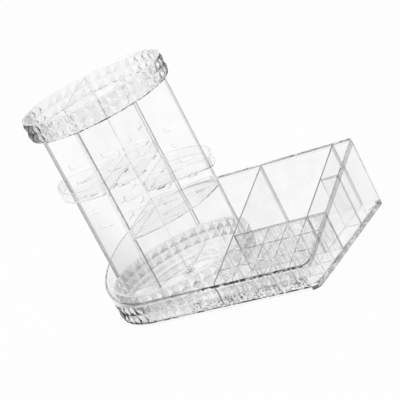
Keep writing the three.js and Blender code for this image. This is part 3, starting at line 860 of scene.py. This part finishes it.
@dataclass
class BaseShell:
    """The base: floor, walls with their slanted rim, the diamond band and the turntable's well.

    Attributes:
        rounding: Radius of its edges.
        valley_radius: Radius of the band's valleys round the axis.
        band_end: Where the band ends at the right of the front.
        rim_depth: How far the rim's finish reaches under the rim.
        lip_end: Where the front lip ends in Y.
        front_lean: Least share of a face's normal that points forwards on the front's strip.
        play: Play by which faces are told apart.
    """

    rounding: float = 0.6
    valley_radius: float = 105.0
    band_end: float = 242.5
    rim_depth: float = 0.9
    lip_end: float = -96.0
    front_lean: float = 0.7
    play: float = 0.05

    def in_band(self, middle: Vector) -> bool:
        """Say whether a face of the shell belongs to the diamond band.

        Args:
            middle: The face's middle.

        Returns:
            Whether it is a facet.
        """
        if not CUT_LOW + self.play < middle.z < CUT_HIGH - self.play:
            return False
        if middle.x <= 0.0:
            return math.hypot(middle.x, middle.y) > self.valley_radius - 3 * self.play
        return middle.x < self.band_end and middle.y < self.play - self.valley_radius

    def sort(self, middle: Vector, normal: Vector, rounded: bool) -> ShellFace:
        """Tell the shell's faces apart.

        Args:
            middle: The face's middle.
            normal: Its normal.
            rounded: Whether it belongs to a rounded edge.

        Returns:
            The kind of face.
        """
        if self.in_band(middle):
            return ShellFace.CUT
        in_front = middle.y < self.lip_end
        if middle.z > rim_height(middle.y) - self.rim_depth:
            return ShellFace.LIP if in_front else ShellFace.RIM
        if in_front and middle.z > CUT_HIGH and normal.y < -self.front_lean:
            return ShellFace.STRIP
        return ShellFace.EDGE if rounded else ShellFace.WALL

    def build(self) -> Mesh:
        """Build the shell's mesh."""
        return RoundedCopy("base_shell", self.rounding, split=True).mesh(self.sort)

    def dress(self, mesh: Mesh, finishes: Sequence[Material]) -> None:
        """Put the shell into the scene with its finishes."""
        put("base_shell_clear", mesh, finishes, Body.BASE.value, ["base_shell"], Slot.CLEAR)


@dataclass
class StorageWalls:
    """Dividers of the rear compartments and the half lapped ribs of the lipstick grid.

    Attributes:
        divider_rounding: Radius of the dividers' edges.
        rib_rounding: Radius of the ribs' edges.
        dividers: Nodes of the dividers.
        behind_grid: The one behind the grid, whose lines run in it.
        long_ribs: Number of ribs from front to back.
        cross_ribs: Number of ribs across them.
        top_depth: How far the top edges' finish reaches under the rim's plane.
    """

    divider_rounding: float = 0.5
    rib_rounding: float = 0.4
    dividers: tuple[str, ...] = ("tower_side_divider", "rear_divider", "mid_cross_wall",
                                 "small_cross_wall")
    behind_grid: str = "mid_cross_wall"
    long_ribs: int = 4
    cross_ribs: int = 2
    top_depth: float = 0.8

    def rib_names(self) -> list[str]:
        """List the nodes of the lipstick grid."""
        names = [f"lipstick_rib_{i + 1}" for i in range(self.long_ribs)]
        return names + [f"lipstick_cross_rib_{i + 1}" for i in range(self.cross_ribs)]

    def sort(self, middle: Vector, normal: Vector, rounded: bool) -> WallFace:
        """Tell sides, slanted top edges and other edges apart.

        Args:
            middle: The face's middle.
            normal: Its normal, which doesn't matter here.
            rounded: Whether it belongs to a rounded edge.

        Returns:
            The kind of face.
        """
        if middle.z > rim_height(middle.y) - self.top_depth:
            return WallFace.TOP
        return WallFace.EDGE if rounded else WallFace.SIDE

    def build(self) -> dict[str, Mesh]:
        """Build the meshes of all walls, by the node that each stands for.

        Returns:
            The meshes by node name.
        """
        roundings = dict.fromkeys(self.dividers, self.divider_rounding)
        roundings.update(dict.fromkeys(self.rib_names(), self.rib_rounding))
        return {name: RoundedCopy(name, rounding).mesh(self.sort)
                for name, rounding in roundings.items()}

    def dress(self, meshes: dict[str, Mesh], walls: Sequence[Material], ribs: Sequence[Material],
              streaked: Material) -> None:
        """Put the walls into the scene.

        Args:
            meshes: Meshes by node name.
            walls: Finishes of the dividers.
            ribs: Finishes of the lipstick grid.
            streaked: Finish of the sides of the wall behind the grid.
        """
        for name, mesh in meshes.items():
            finishes = walls if name in self.dividers else ribs
            if name == self.behind_grid:
                finishes = (streaked, *walls[1:])
            put(name + "_clear", mesh, finishes, Body.BASE.value, [name], Slot.CLEAR)


@dataclass
class Partition:
    """The two crossed panels with their thick upright edges and hook slots.

    Attributes:
        rounding: Radius of their edges.
        post_start: Distance from the axis at which the upright edges begin.
        slots: Lowest and highest place of the hook slots.
        slots_start: Distance from the axis at which the slots begin.
        lean: Least share of a slot wall's normal that points out, in, up or down.
        panels: Nodes of the panels.
    """

    rounding: float = 0.45
    post_start: float = 95.1
    slots: Span = (112.0, 214.0)
    slots_start: float = 12.0
    lean: float = 0.3
    panels: tuple[str, ...] = ("partition_panel_side", "partition_panel_front")

    def sort(self, middle: Vector, normal: Vector, rounded: bool) -> PanelFace:
        """Tell a panel's faces apart.

        Args:
            middle: The face's middle.
            normal: Its normal.
            rounded: Whether it belongs to a rounded edge.

        Returns:
            The kind of face.
        """
        reach = math.hypot(middle.x, middle.y)
        if reach > self.post_start:
            return PanelFace.CORNER if rounded else PanelFace.POST
        outward = abs(normal.x * middle.x + normal.y * middle.y) / max(reach, 1.0)
        in_slots = self.slots[0] < middle.z < self.slots[1] and reach > self.slots_start
        if in_slots and max(outward, abs(normal.z)) > self.lean:
            return PanelFace.SLOT
        return PanelFace.EDGE if rounded and not in_slots else PanelFace.WEB

    def build(self) -> dict[str, Mesh]:
        """Build both panels' meshes by node name."""
        return {name: RoundedCopy(name, self.rounding, split=True).mesh(self.sort)
                for name in self.panels}

    def dress(self, meshes: dict[str, Mesh], finishes: Sequence[Material]) -> None:
        """Put the panels into the scene with their finishes."""
        for name, mesh in meshes.items():
            put(name + "_clear", mesh, finishes, Body.TOWER.value, [name], Slot.PANEL)


@dataclass
class ShelfTrays:
    """The four quarter round trays that hook into the panels.

    Attributes:
        rounding: Radius of their edges.
        count: Number of trays.
        foot: Height of the lowest edges.
        lean: Largest share of an upright face's normal that points up or down.
        line: Broken line of painted shade along a tray's foot, measured from its bottom.
    """

    rounding: float = 0.5
    count: int = 4
    foot: float = 1.2
    lean: float = 0.3
    line: Band = Band(Z_WAY, -1.0, 1.5, 0.15, broken=1.0, grain=60.0, amount=(0.5, 0.55))

    def sort(self, bottom: float, middle: Vector, normal: Vector, rounded: bool) -> ShelfFace:
        """Tell a tray's faces apart.

        Args:
            bottom: Height of the tray's bottom.
            middle: The face's middle.
            normal: Its normal.
            rounded: Whether it belongs to a rounded edge.

        Returns:
            The kind of face.
        """
        if rounded:
            return ShelfFace.FOOT if middle.z < bottom + self.foot else ShelfFace.EDGE
        return ShelfFace.WALL if abs(normal.z) < self.lean else ShelfFace.LEVEL

    def bottom(self, mesh: Mesh) -> float:
        """Give the height in millimetres of a mesh's lowest corner."""
        return min(corner.co.z for corner in mesh.vertices) / MM

    def build(self) -> dict[str, Mesh]:
        """Build the trays' meshes.

        Returns:
            The meshes by node name.
        """
        meshes = {}
        for name in (f"shelf_tray_{i + 1}" for i in range(self.count)):
            bottom = self.bottom(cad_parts[name].data)
            meshes[name] = RoundedCopy(name, self.rounding).mesh(partial(self.sort, bottom))
        return meshes

    def dress(self, meshes: dict[str, Mesh], finishes: Sequence[Material]) -> None:
        """Put the trays into the scene, each on its own body, with a broken line of painted shade
        along its foot.

        Args:
            meshes: Meshes by node name.
            finishes: Finishes of all but the upright faces, which each tray has its own of.
        """
        for name, mesh in meshes.items():
            bottom = self.bottom(mesh)
            line = replace(self.line, low=bottom + self.line.low, high=bottom + self.line.high)
            wall = replace(SHELF, name=name + "_wall", bands=(line,)).material()
            put(name + "_clear", mesh, (*finishes, wall), name, [name], Slot.CLEAR)


@dataclass
class TopInsert:
    """The divider insert of the top tray: a straight blade and a bowed one.

    Attributes:
        rounding: Radius of its edges.
    """

    rounding: float = 0.45

    def sort(self, middle: Vector, normal: Vector, rounded: bool) -> int:
        """Give a plain face 0 and a rounded edge 1."""
        return int(rounded)

    def build(self) -> Mesh:
        """Build the insert's mesh."""
        return RoundedCopy("top_tray_divider", self.rounding).mesh(self.sort)

    def dress(self, mesh: Mesh, finishes: Sequence[Material]) -> None:
        """Put the insert into the scene with the finishes of its faces and edges."""
        put("top_insert_clear", mesh, finishes, Body.TOWER.value, ["top_tray_divider"], Slot.CLEAR)


class GrowingTree(Graph):
    """Geometry tree with named inputs, which turns a seed mesh into a finished one."""

    def __init__(self, name: str, inputs: Mapping[str, Input]) -> None:
        """Start a tree.

        Args:
            name: Name of the tree.
            inputs: Kinds of its inputs by name, after the geometry.
        """
        super().__init__(bpy.data.node_groups.new(name, "GeometryNodeTree"))
        sockets = self.tree.interface
        for label, kind in {"Geometry": Input.SHAPE, **inputs}.items():
            sockets.new_socket(label, in_out="INPUT", socket_type=kind.value)
        sockets.new_socket("Geometry", in_out="OUTPUT", socket_type=Input.SHAPE.value)
        self.given = self.node("NodeGroupInput").outputs

    def attribute(self, name: str) -> Socket:
        """Read a number that the points carry."""
        return self.node("GeometryNodeInputNamedAttribute", {"Name": name},
                         data_type="FLOAT").outputs["Attribute"]

    def sampled(self, value: Socket, index: Socket, kind: str = "FLOAT") -> Socket:
        """Read a value at one point of the seed.

        Args:
            value: The value to read.
            index: Index of the point.
            kind: Type of the value.

        Returns:
            The value's socket.
        """
        feeds = {"Geometry": self.given["Geometry"], "Value": value, "Index": index}
        return self.node("GeometryNodeSampleIndex", feeds, data_type=kind,
                         domain="POINT").outputs["Value"]

    def close(self, shape: bpy.types.Node, *finishes: tuple[Material, object]) -> None:
        """End the tree in real faces that carry their materials.

        Args:
            shape: Node that gives the geometry.
            finishes: Each material with the faces that get it, or True for all.
        """
        shape = self.node("GeometryNodeRealizeInstances", {0: shape})
        for finish, chosen in finishes:
            shape = self.node("GeometryNodeSetMaterial", {"Geometry": shape, "Selection": chosen,
                                                          "Material": finish})
        self.node("NodeGroupOutput", {"Geometry": shape})

    def grow(self, seed: Mesh, values: Mapping[str, object]) -> Mesh:
        """Run the tree on a seed mesh.

        Args:
            seed: Mesh that the tree starts from.
            values: The tree's inputs by name.

        Returns:
            The finished mesh.
        """
        holder = added(seed.name, seed)
        modifier = holder.modifiers.new(seed.name, "NODES")
        modifier.node_group = self.tree
        for item in self.tree.interface.items_tree:
            if item.in_out == "INPUT" and item.name in values:
                modifier[item.identifier] = values[item.name]
        return baked(holder)


@dataclass
class Turntable:
    """The ball turntable in the well: two races, a cage and ten balls, with the pivot's screw.

    Attributes:
        ball_radius: Radius of a ball.
        ball_count: Number of balls.
        ball_steps: How often a ball's faces are divided.
        circle_radius: Radius of the circle that the balls run in.
        ball_height: Height of their middles.
        races: Nodes of the races and the cage.
        metal: Nodes of the washer and the screw.
    """

    ball_radius: float = 2.98
    ball_count: int = 10
    ball_steps: int = 4
    circle_radius: float = 62.0
    ball_height: float = 9.15
    races: tuple[str, ...] = ("turntable_lower_race", "turntable_upper_race",
                              "turntable_ball_cage")
    metal: tuple[str, ...] = ("pivot_washer", "pivot_screw")

    def tree(self, finish: Material) -> GrowingTree:
        """Build the tree that rings the balls round the axis.

        Args:
            finish: Material of the balls.

        Returns:
            The geometry tree.
        """
        tree = GrowingTree("ball_ring", {"Count": Input.COUNT, "Circle Radius": Input.SIZE,
                                         "Ball Radius": Input.SIZE, "Centre": Input.PLACE})
        given = tree.given
        circle = tree.node("GeometryNodeMeshCircle", {"Vertices": given["Count"],
                                                      "Radius": given["Circle Radius"]})
        ball = tree.node("GeometryNodeMeshIcoSphere", {"Radius": given["Ball Radius"],
                                                       "Subdivisions": self.ball_steps})
        smooth = tree.node("GeometryNodeSetShadeSmooth", {"Geometry": ball})
        ring = tree.node("GeometryNodeInstanceOnPoints", {"Points": circle, "Instance": smooth})
        placed = tree.node("GeometryNodeTransform", {"Geometry": ring,
                                                     "Translation": given["Centre"]})
        tree.close(placed, (finish, True))
        return tree

    def build(self, finish: Material) -> Mesh:
        """Build the balls as one mesh.

        Args:
            finish: Material of the balls.

        Returns:
            The finished mesh.
        """
        return self.tree(finish).grow(bpy.data.meshes.new("ball_seed"), {
            "Count": self.ball_count,
            "Circle Radius": self.circle_radius * MM,
            "Ball Radius": self.ball_radius * MM,
            "Centre": tuple(place_of((0.0, 0.0, self.ball_height))),
        })

    def dress(self, balls: Mesh, race: Material, steel: Material) -> None:
        """Put the balls into the scene and finish the races, cage, washer and screw.

        Args:
            balls: Mesh of the balls.
            race: Finish of the races, the cage and the balls.
            steel: Finish of the washer and the screw.
        """
        nodes = [f"turntable_ball_{i + 1}" for i in range(self.ball_count)]
        put("turntable_balls", balls, (race,), Body.BEARING.value, nodes, Slot.BEARING)
        for name in self.races:
            repaint(name, race)
        for name in self.metal:
            repaint(name, steel)


def arc(centre: Span, reach: Span, degrees: Iterable[float]) -> list[Span]:
    """Give points of a rounded corner in a turned profile.

    Args:
        centre: Radius and height of the corner's centre.
        reach: Its reach outwards and upwards.
        degrees: Angles of the points, from straight out towards straight up.

    Returns:
        Radius and height of each point.
    """
    turns = [math.radians(angle) for angle in degrees]
    return [(centre[0] + reach[0] * math.cos(turn), centre[1] + reach[1] * math.sin(turn))
            for turn in turns]


@dataclass
class Feet:
    """Six clear feet under the base, each a low button with a rounded rim.

    Attributes:
        radius: Radius of a foot.
        height: Its height.
        rounding: Radius of its lower rim.
        steps: Steps round it.
        count: Number of feet.
    """

    radius: float = 8.0
    height: float = 2.0
    rounding: float = 0.7
    steps: int = 48
    count: int = 6

    def build(self) -> Mesh:
        """Build the feet as one mesh.

        Returns:
            The finished mesh.
        """
        inner = self.radius - self.rounding
        profile = [(0.0, 0.0), (inner, 0.0),
                   *arc((inner, self.rounding), (self.rounding, self.rounding),
                        (-67.5, -45.0, -22.5, 0.0)),
                   (self.radius, self.height), (0.0, self.height)]
        shape = bmesh.new()
        for i in range(self.count):
            low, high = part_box(f"foot_{i + 1}")
            middle = Vector(((low[0] + high[0]) / 2, (low[1] + high[1]) / 2, 0.0))
            self.add_foot(shape, profile, middle)
        bmesh.ops.recalc_face_normals(shape, faces=shape.faces)
        return mesh_of(shape, "feet")

    def add_foot(self, shape: bmesh.types.BMesh, profile: Sequence[Span],
                 middle: Vector) -> None:
        """Turn a profile about an upright axis and add it to a shape as a closed solid.

        Args:
            shape: The shape to add to.
            profile: Radius and height pairs, from the axis out and back to the axis.
            middle: Where the axis stands, in metres.
        """
        turns = [math.tau * k / self.steps for k in range(self.steps)]
        rings = [[shape.verts.new(middle + MM * Vector((radius * math.cos(turn),
                                                        radius * math.sin(turn), height)))
                  for turn in (turns if radius else (0.0,))] for radius, height in profile]
        for near, far in zip(rings, rings[1:]):
            for k in range(self.steps):
                after = (k + 1) % self.steps
                corners = (near[k % len(near)], near[after % len(near)],
                           far[after % len(far)], far[k % len(far)])
                shape.faces.new(list(dict.fromkeys(corners)))

    def dress(self, mesh: Mesh, rubber: Material) -> None:
        """Put the feet into the scene with their finish."""
        nodes = [f"foot_{i + 1}" for i in range(self.count)]
        put("feet_clear", mesh, (rubber,), Body.BASE.value, nodes, Slot.RUBBER)


@dataclass
class DiamondTray:
    """A round tray whose wall carries two rows of cut diamonds, with sockets for the partition.

    Attributes:
        node: CAD node that the tray stands for.
        bottom: Height of its underside.
        sockets_up: Whether the socket ribs stand on the floor or hang under it.
        bore: Radius of the hole for the pivot, or 0.
        height: Height of its wall.
        floor: Thickness of its floor.
        valley_radius: Radius of the valleys between the diamonds.
        inner_radius: Radius of the wall's inside.
        lip_radius: Radius of the lip over the diamonds.
        proud: How far a diamond's tip stands out of the valleys.
        lip: Height of the plain lips over and under the diamonds.
        edge: Radius of the rim's edges.
        fillet: Radius of the fillet between wall and floor.
        cells: Number of diamonds round the tray.
        rows: Rows of diamonds.
        arm_count: Arms of the partition.
        rib_near: Distance of a socket rib from the middle of its arm.
        rib_width: Width of a rib.
        rib_height: Its height.
        rib_start: Where it starts from the axis.
        rib_end: Where it ends.
        rib_root: How deep it stands in the floor.
        facet_level: How far a face's corners stand out, out of 1, for it to be a facet.
        merge_gap: Largest gap between two corners that are one.
    """

    node: str
    bottom: float
    sockets_up: bool
    bore: float = 0.0
    height: float = 28.8
    floor: float = 2.2
    valley_radius: float = 98.0
    inner_radius: float = 95.6
    lip_radius: float = 98.9
    proud: float = 2.0
    lip: float = 1.7
    edge: float = 0.6
    fillet: float = 1.4
    cells: int = 40
    rows: int = 2
    arm_count: int = 4
    rib_near: float = 1.5
    rib_width: float = 1.6
    rib_height: float = 3.0
    rib_start: float = 24.0
    rib_end: float = 88.0
    rib_root: float = 0.6
    facet_level: float = 0.25
    merge_gap: float = 0.001

    def profile(self) -> list[Triple]:
        """List the wall's profile.

        Returns:
            Radius, height and how far each point stands out at a cell's middle, from 0 to 1.
        """
        low, top, valley = self.bottom, self.bottom + self.height, self.valley_radius
        half, edge, fillet = self.lip / 2, self.edge, self.fillet
        step = (self.height - 2 * self.lip) / (2 * self.rows)
        under = [(self.bore, low), (valley - self.lip, low),
                 *arc((valley - self.lip, low + self.lip), (self.lip, self.lip), (-60, -30))]
        cut = [(valley, low + self.lip + k * step, float(k % 2)) for k in range(2 * self.rows + 1)]
        over = [*arc((valley, top - half), (self.lip_radius - valley, half), (-60, -30, 0)),
                *arc((self.lip_radius - edge, top - half), (edge, half), (30, 60, 90)),
                *arc((self.inner_radius + edge, top - edge), (edge, edge), (90, 120, 150, 180)),
                *arc((self.inner_radius - fillet, low + self.floor + fillet), (fillet, fillet),
                     (0, -30, -60, -90)),
                (self.bore, low + self.floor)]
        if self.bore:
            over.append(under[0])
        return [*((*point, 0.0) for point in under), *cut, *((*point, 0.0) for point in over)]

    def seed(self) -> Mesh:
        """Build the profile as a row of points that carry how far they stand out.

        Returns:
            The row's mesh.
        """
        points = self.profile()
        mesh = bpy.data.meshes.new(self.node + "_seed")
        mesh.from_pydata([(r * MM, 0.0, z * MM) for r, z, _ in points], [], [])
        proud = mesh.attributes.new("proud", "FLOAT", "POINT")
        proud.data.foreach_set("value", [out for _, _, out in points])
        return mesh

    def tree(self, wall: Material, cut: Material) -> GrowingTree:
        """Build the tree that turns the profile into the cut tray.

        Args:
            wall: Finish of the plain faces.
            cut: Finish of the facets.

        Returns:
            The geometry tree.
        """
        tree = GrowingTree("diamond_tray", {"Cells": Input.COUNT, "Proud": Input.SIZE,
                                            "Axis": Input.PLACE, "Merge Gap": Input.SIZE})
        given, maths = tree.given, tree.maths
        size = tree.node("GeometryNodeAttributeDomainSize", {0: given["Geometry"]},
                         component="MESH")
        count = size.outputs["Point Count"]
        steps = maths("MULTIPLY", given["Cells"], 2.0)
        sheet = tree.node("GeometryNodeMeshGrid", {"Vertices X": maths("ADD", steps, 1.0),
                                                   "Vertices Y": count})
        index = tree.node("GeometryNodeInputIndex").outputs[0]
        row = maths("MODULO", index, count)
        column = maths("FLOOR", maths("DIVIDE", index, count))
        spot = tree.node("GeometryNodeInputPosition").outputs[0]
        radius, _, height = tree.split(tree.sampled(spot, row, "FLOAT_VECTOR"))
        out = tree.sampled(tree.attribute("proud"), row)
        lifted = tree.product(out, maths("MODULO", column, 2.0), given["Proud"])
        radius = maths("ADD", radius, lifted)
        angle = maths("DIVIDE", maths("MULTIPLY", column, math.tau), steps)
        turned = tree.joined(tree.product(radius, maths("COSINE", angle)),
                             tree.product(radius, maths("SINE", angle)), height)
        banded = tree.node("GeometryNodeStoreNamedAttribute",
                           {"Geometry": sheet, "Name": "band", "Value": out},
                           data_type="FLOAT", domain="POINT")
        bent = tree.node("GeometryNodeSetPosition", {"Geometry": banded, "Position": turned})
        closed = tree.node("GeometryNodeMergeByDistance", {"Geometry": bent,
                                                           "Distance": given["Merge Gap"]})
        on_face = tree.node("GeometryNodeFieldOnDomain", {0: tree.attribute("band")},
                            data_type="FLOAT", domain="FACE")
        is_facet = maths("GREATER_THAN", on_face.outputs[0], self.facet_level)
        facets = tree.node("GeometryNodeTriangulate", {"Mesh": closed, "Selection": is_facet},
                           quad_method="LONGEST_DIAGONAL")
        flat = tree.node("GeometryNodeSetShadeSmooth",
                         {"Geometry": facets, "Shade Smooth": False}, domain="FACE")
        placed = tree.node("GeometryNodeTransform", {"Geometry": flat,
                                                     "Translation": given["Axis"]})
        tree.close(placed, (wall, True), (cut, is_facet))
        return tree

    def ribs(self) -> Mesh:
        """Build the eight socket ribs that hold the partition's webs.

        Returns:
            The ribs as closed blocks.
        """
        low, high = self.bottom - self.rib_height, self.bottom + self.rib_root
        if self.sockets_up:
            floor = self.bottom + self.floor
            low, high = floor - self.rib_root, floor + self.rib_height
        shape = bmesh.new()
        for arm in range(self.arm_count):
            turn = Matrix.Rotation(ARM_TURN + arm * math.tau / self.arm_count, 4, "Z")
            for side in (-1, 1):
                corners = [(x, side * y, z) for x in (self.rib_start, self.rib_end)
                           for y in (self.rib_near, self.rib_near + self.rib_width)
                           for z in (low, high)]
                verts = [shape.verts.new(place_of(turn @ Vector(place))) for place in corners]
                for loop in ((0, 1, 3, 2), (4, 6, 7, 5), (0, 4, 5, 1), (2, 3, 7, 6),
                             (0, 2, 6, 4), (1, 5, 7, 3)):
                    shape.faces.new([verts[k] for k in loop])
        bmesh.ops.recalc_face_normals(shape, faces=shape.faces)
        return mesh_of(shape, self.node + "_ribs")

    def build(self, wall: Material, cut: Material) -> Mesh:
        """Build the tray's mesh, its ribs joined on.

        Args:
            wall: Finish of the plain faces.
            cut: Finish of the facets.

        Returns:
            The finished mesh.
        """
        bowl = self.tree(wall, cut).grow(self.seed(), {
            "Cells": self.cells,
            "Proud": self.proud * MM,
            "Axis": tuple(place_of((0.0, 0.0, 0.0))),
            "Merge Gap": self.merge_gap * MM,
        })
        tray, ribs = added(self.node + "_bowl", bowl), added(self.node + "_ribs", self.ribs())
        union = tray.modifiers.new("union", "BOOLEAN")
        union.operation = "UNION"
        union.solver = "EXACT"
        union.object = ribs
        finished = baked(tray)
        bpy.data.objects.remove(ribs)
        return finished

    def dress(self, mesh: Mesh, finishes: Sequence[Material]) -> None:
        """Put the tray into the scene with the finishes of its plain faces and facets."""
        put(self.node + "_clear", mesh, finishes, Body.TOWER.value, [self.node], Slot.CLEAR)


@dataclass
class Studio:
    """White studio with soft light, and the camera at the photograph's angle.

    Attributes:
        azimuth: Degrees round the object from straight in front.
        elevation: Degrees above the floor.
        roll: Degrees that the picture is rolled by.
        target: Point in metres that the camera looks at.
        distance: Its distance from there.
        lens: Focal length in millimetres.
        sensor: Width of the sensor in millimetres.
        view_end: Farthest distance in metres that is drawn.
        floor_reach: Reach of the floor in metres.
        ambient: Brightness of the light from all round.
        lamp_power: Power of the lamp in watts.
        lamp_size: Its width in metres.
        lamp_place: Its place.
        lamp_aim: Direction that it shines in.
        bounces: How often light may pass a face or be mirrored.
    """

    azimuth: float = 37.458
    elevation: float = 15.833
    roll: float = -27.523
    target: Triple = (-0.020774, 0.027106, 0.100267)
    distance: float = 1.9835
    lens: float = 136.43
    sensor: float = 36.0
    view_end: float = 40.0
    floor_reach: float = 6.0
    ambient: float = 0.85
    lamp_power: float = 6.0
    lamp_size: float = 1.6
    lamp_place: Triple = (-0.5, -0.4, 1.7)
    lamp_aim: Triple = (0.5, 0.4, -1.6)
    bounces: int = 128

    def camera(self) -> None:
        """Stand the camera where the photograph was taken from."""
        az, el, roll = (math.radians(a) for a in (self.azimuth, self.elevation, self.roll))
        back = Vector((math.sin(az) * math.cos(el), -math.cos(az) * math.cos(el), math.sin(el)))
        across = (-back).cross(Vector(Z_WAY)).normalized()
        upward = across.cross(-back)
        right = math.cos(roll) * across + math.sin(roll) * upward
        top = math.cos(roll) * upward - math.sin(roll) * across
        turned = Matrix((right, top, back)).transposed().to_4x4()
        turned.translation = Vector(self.target) + back * self.distance
        data = bpy.data.cameras.new("photograph_view")
        data.lens = self.lens
        data.sensor_width = self.sensor
        data.clip_end = self.view_end
        camera = added("photograph_view", data)
        camera.matrix_world = turned
        bpy.context.scene.camera = camera

    def world(self) -> None:
        """Light the scene evenly and show white behind and through the object."""
        world = bpy.data.worlds.new("white_studio")
        world.use_nodes = True
        bpy.context.scene.world = world
        graph = Graph(world.node_tree)
        strength = graph.ramp(graph.seen(), WHOLE, (self.ambient, 1.0))
        sky = graph.node("ShaderNodeBackground", {"Color": grey(1.0), "Strength": strength})
        graph.node("ShaderNodeOutputWorld", {0: sky})

    def ground(self) -> None:
        """Lay the floor under the object."""
        corners = [(x * self.floor_reach, y * self.floor_reach, 0.0)
                   for x, y in ((-1, -1), (1, -1), (1, 1), (-1, 1))]
        mesh = bpy.data.meshes.new("floor")
        mesh.from_pydata(corners, [], [(0, 1, 2, 3)])
        object_of("floor", mesh, (StudioGround().material(),))

    def lamps(self) -> None:
        """Hang one broad soft lamp above the object."""
        data = bpy.data.lights.new("soft_lamp", "AREA")
        data.shape = "SQUARE"
        data.size = self.lamp_size
        data.energy = self.lamp_power
        lamp = added("soft_lamp", data)
        lamp.location = self.lamp_place
        lamp.rotation_euler = Vector(self.lamp_aim).to_track_quat("-Z", "Y").to_euler()

    def build(self) -> None:
        """Set up the whole studio."""
        scene = bpy.context.scene
        scene.view_settings.view_transform = "Standard"
        for kind in ("max", "transmission", "glossy", "transparent_max"):
            setattr(scene.cycles, kind + "_bounces", self.bounces)
        self.camera()
        self.world()
        self.ground()
        self.lamps()


def main() -> None:
    """Build the studio and every piece."""
    logging.basicConfig(level=logging.INFO, format="%(message)s")
    Studio().build()
    rim, wall_edge, rib_edge, race, steel = made(RIM, WALL_EDGE, RIB_EDGE, RACE, Steel())
    pane, pane_edge, bowl, foot = made(PANE, PANE_EDGE, BOWL, FOOT)

    shell = BaseShell()
    wall, base_cut, lip, strip = made(WALL, BASE_CUT, LIP, STRIP)
    shell.dress(shell.build(), (wall, base_cut, rim, lip, wall_edge, strip))
    walls = StorageWalls()
    divider, rib, mid_wall = made(DIVIDER, RIB, MID_WALL)
    walls.dress(walls.build(), (divider, rim, wall_edge), (rib, rib_edge, rib_edge), mid_wall)
    turntable = Turntable()
    turntable.dress(turntable.build(race), race, steel)
    low_tray = DiamondTray("tower_bottom_tray", bottom=LOW_TRAY, sockets_up=True, bore=6.4)
    top_tray = DiamondTray("tower_top_tray", bottom=TOP_TRAY, sockets_up=False)
    for tray, cut in zip((low_tray, top_tray), made(LOW_CUT, TOP_CUT)):
        tray.dress(tray.build(bowl, cut), (bowl, cut))
    partition = Partition()
    post, slot_wall, post_edge = made(POST, SLOT_WALL, POST_EDGE)
    partition.dress(partition.build(), (pane, post, slot_wall, post_edge, pane_edge))
    shelves = ShelfTrays()
    shelves.dress(shelves.build(), made(SHELF, SHELF_EDGE, SHELF_LINE))
    insert = TopInsert()
    insert.dress(insert.build(), (pane, pane_edge))
    feet = Feet()
    feet.dress(feet.build(), foot)


if __name__ == "__main__":
    main()
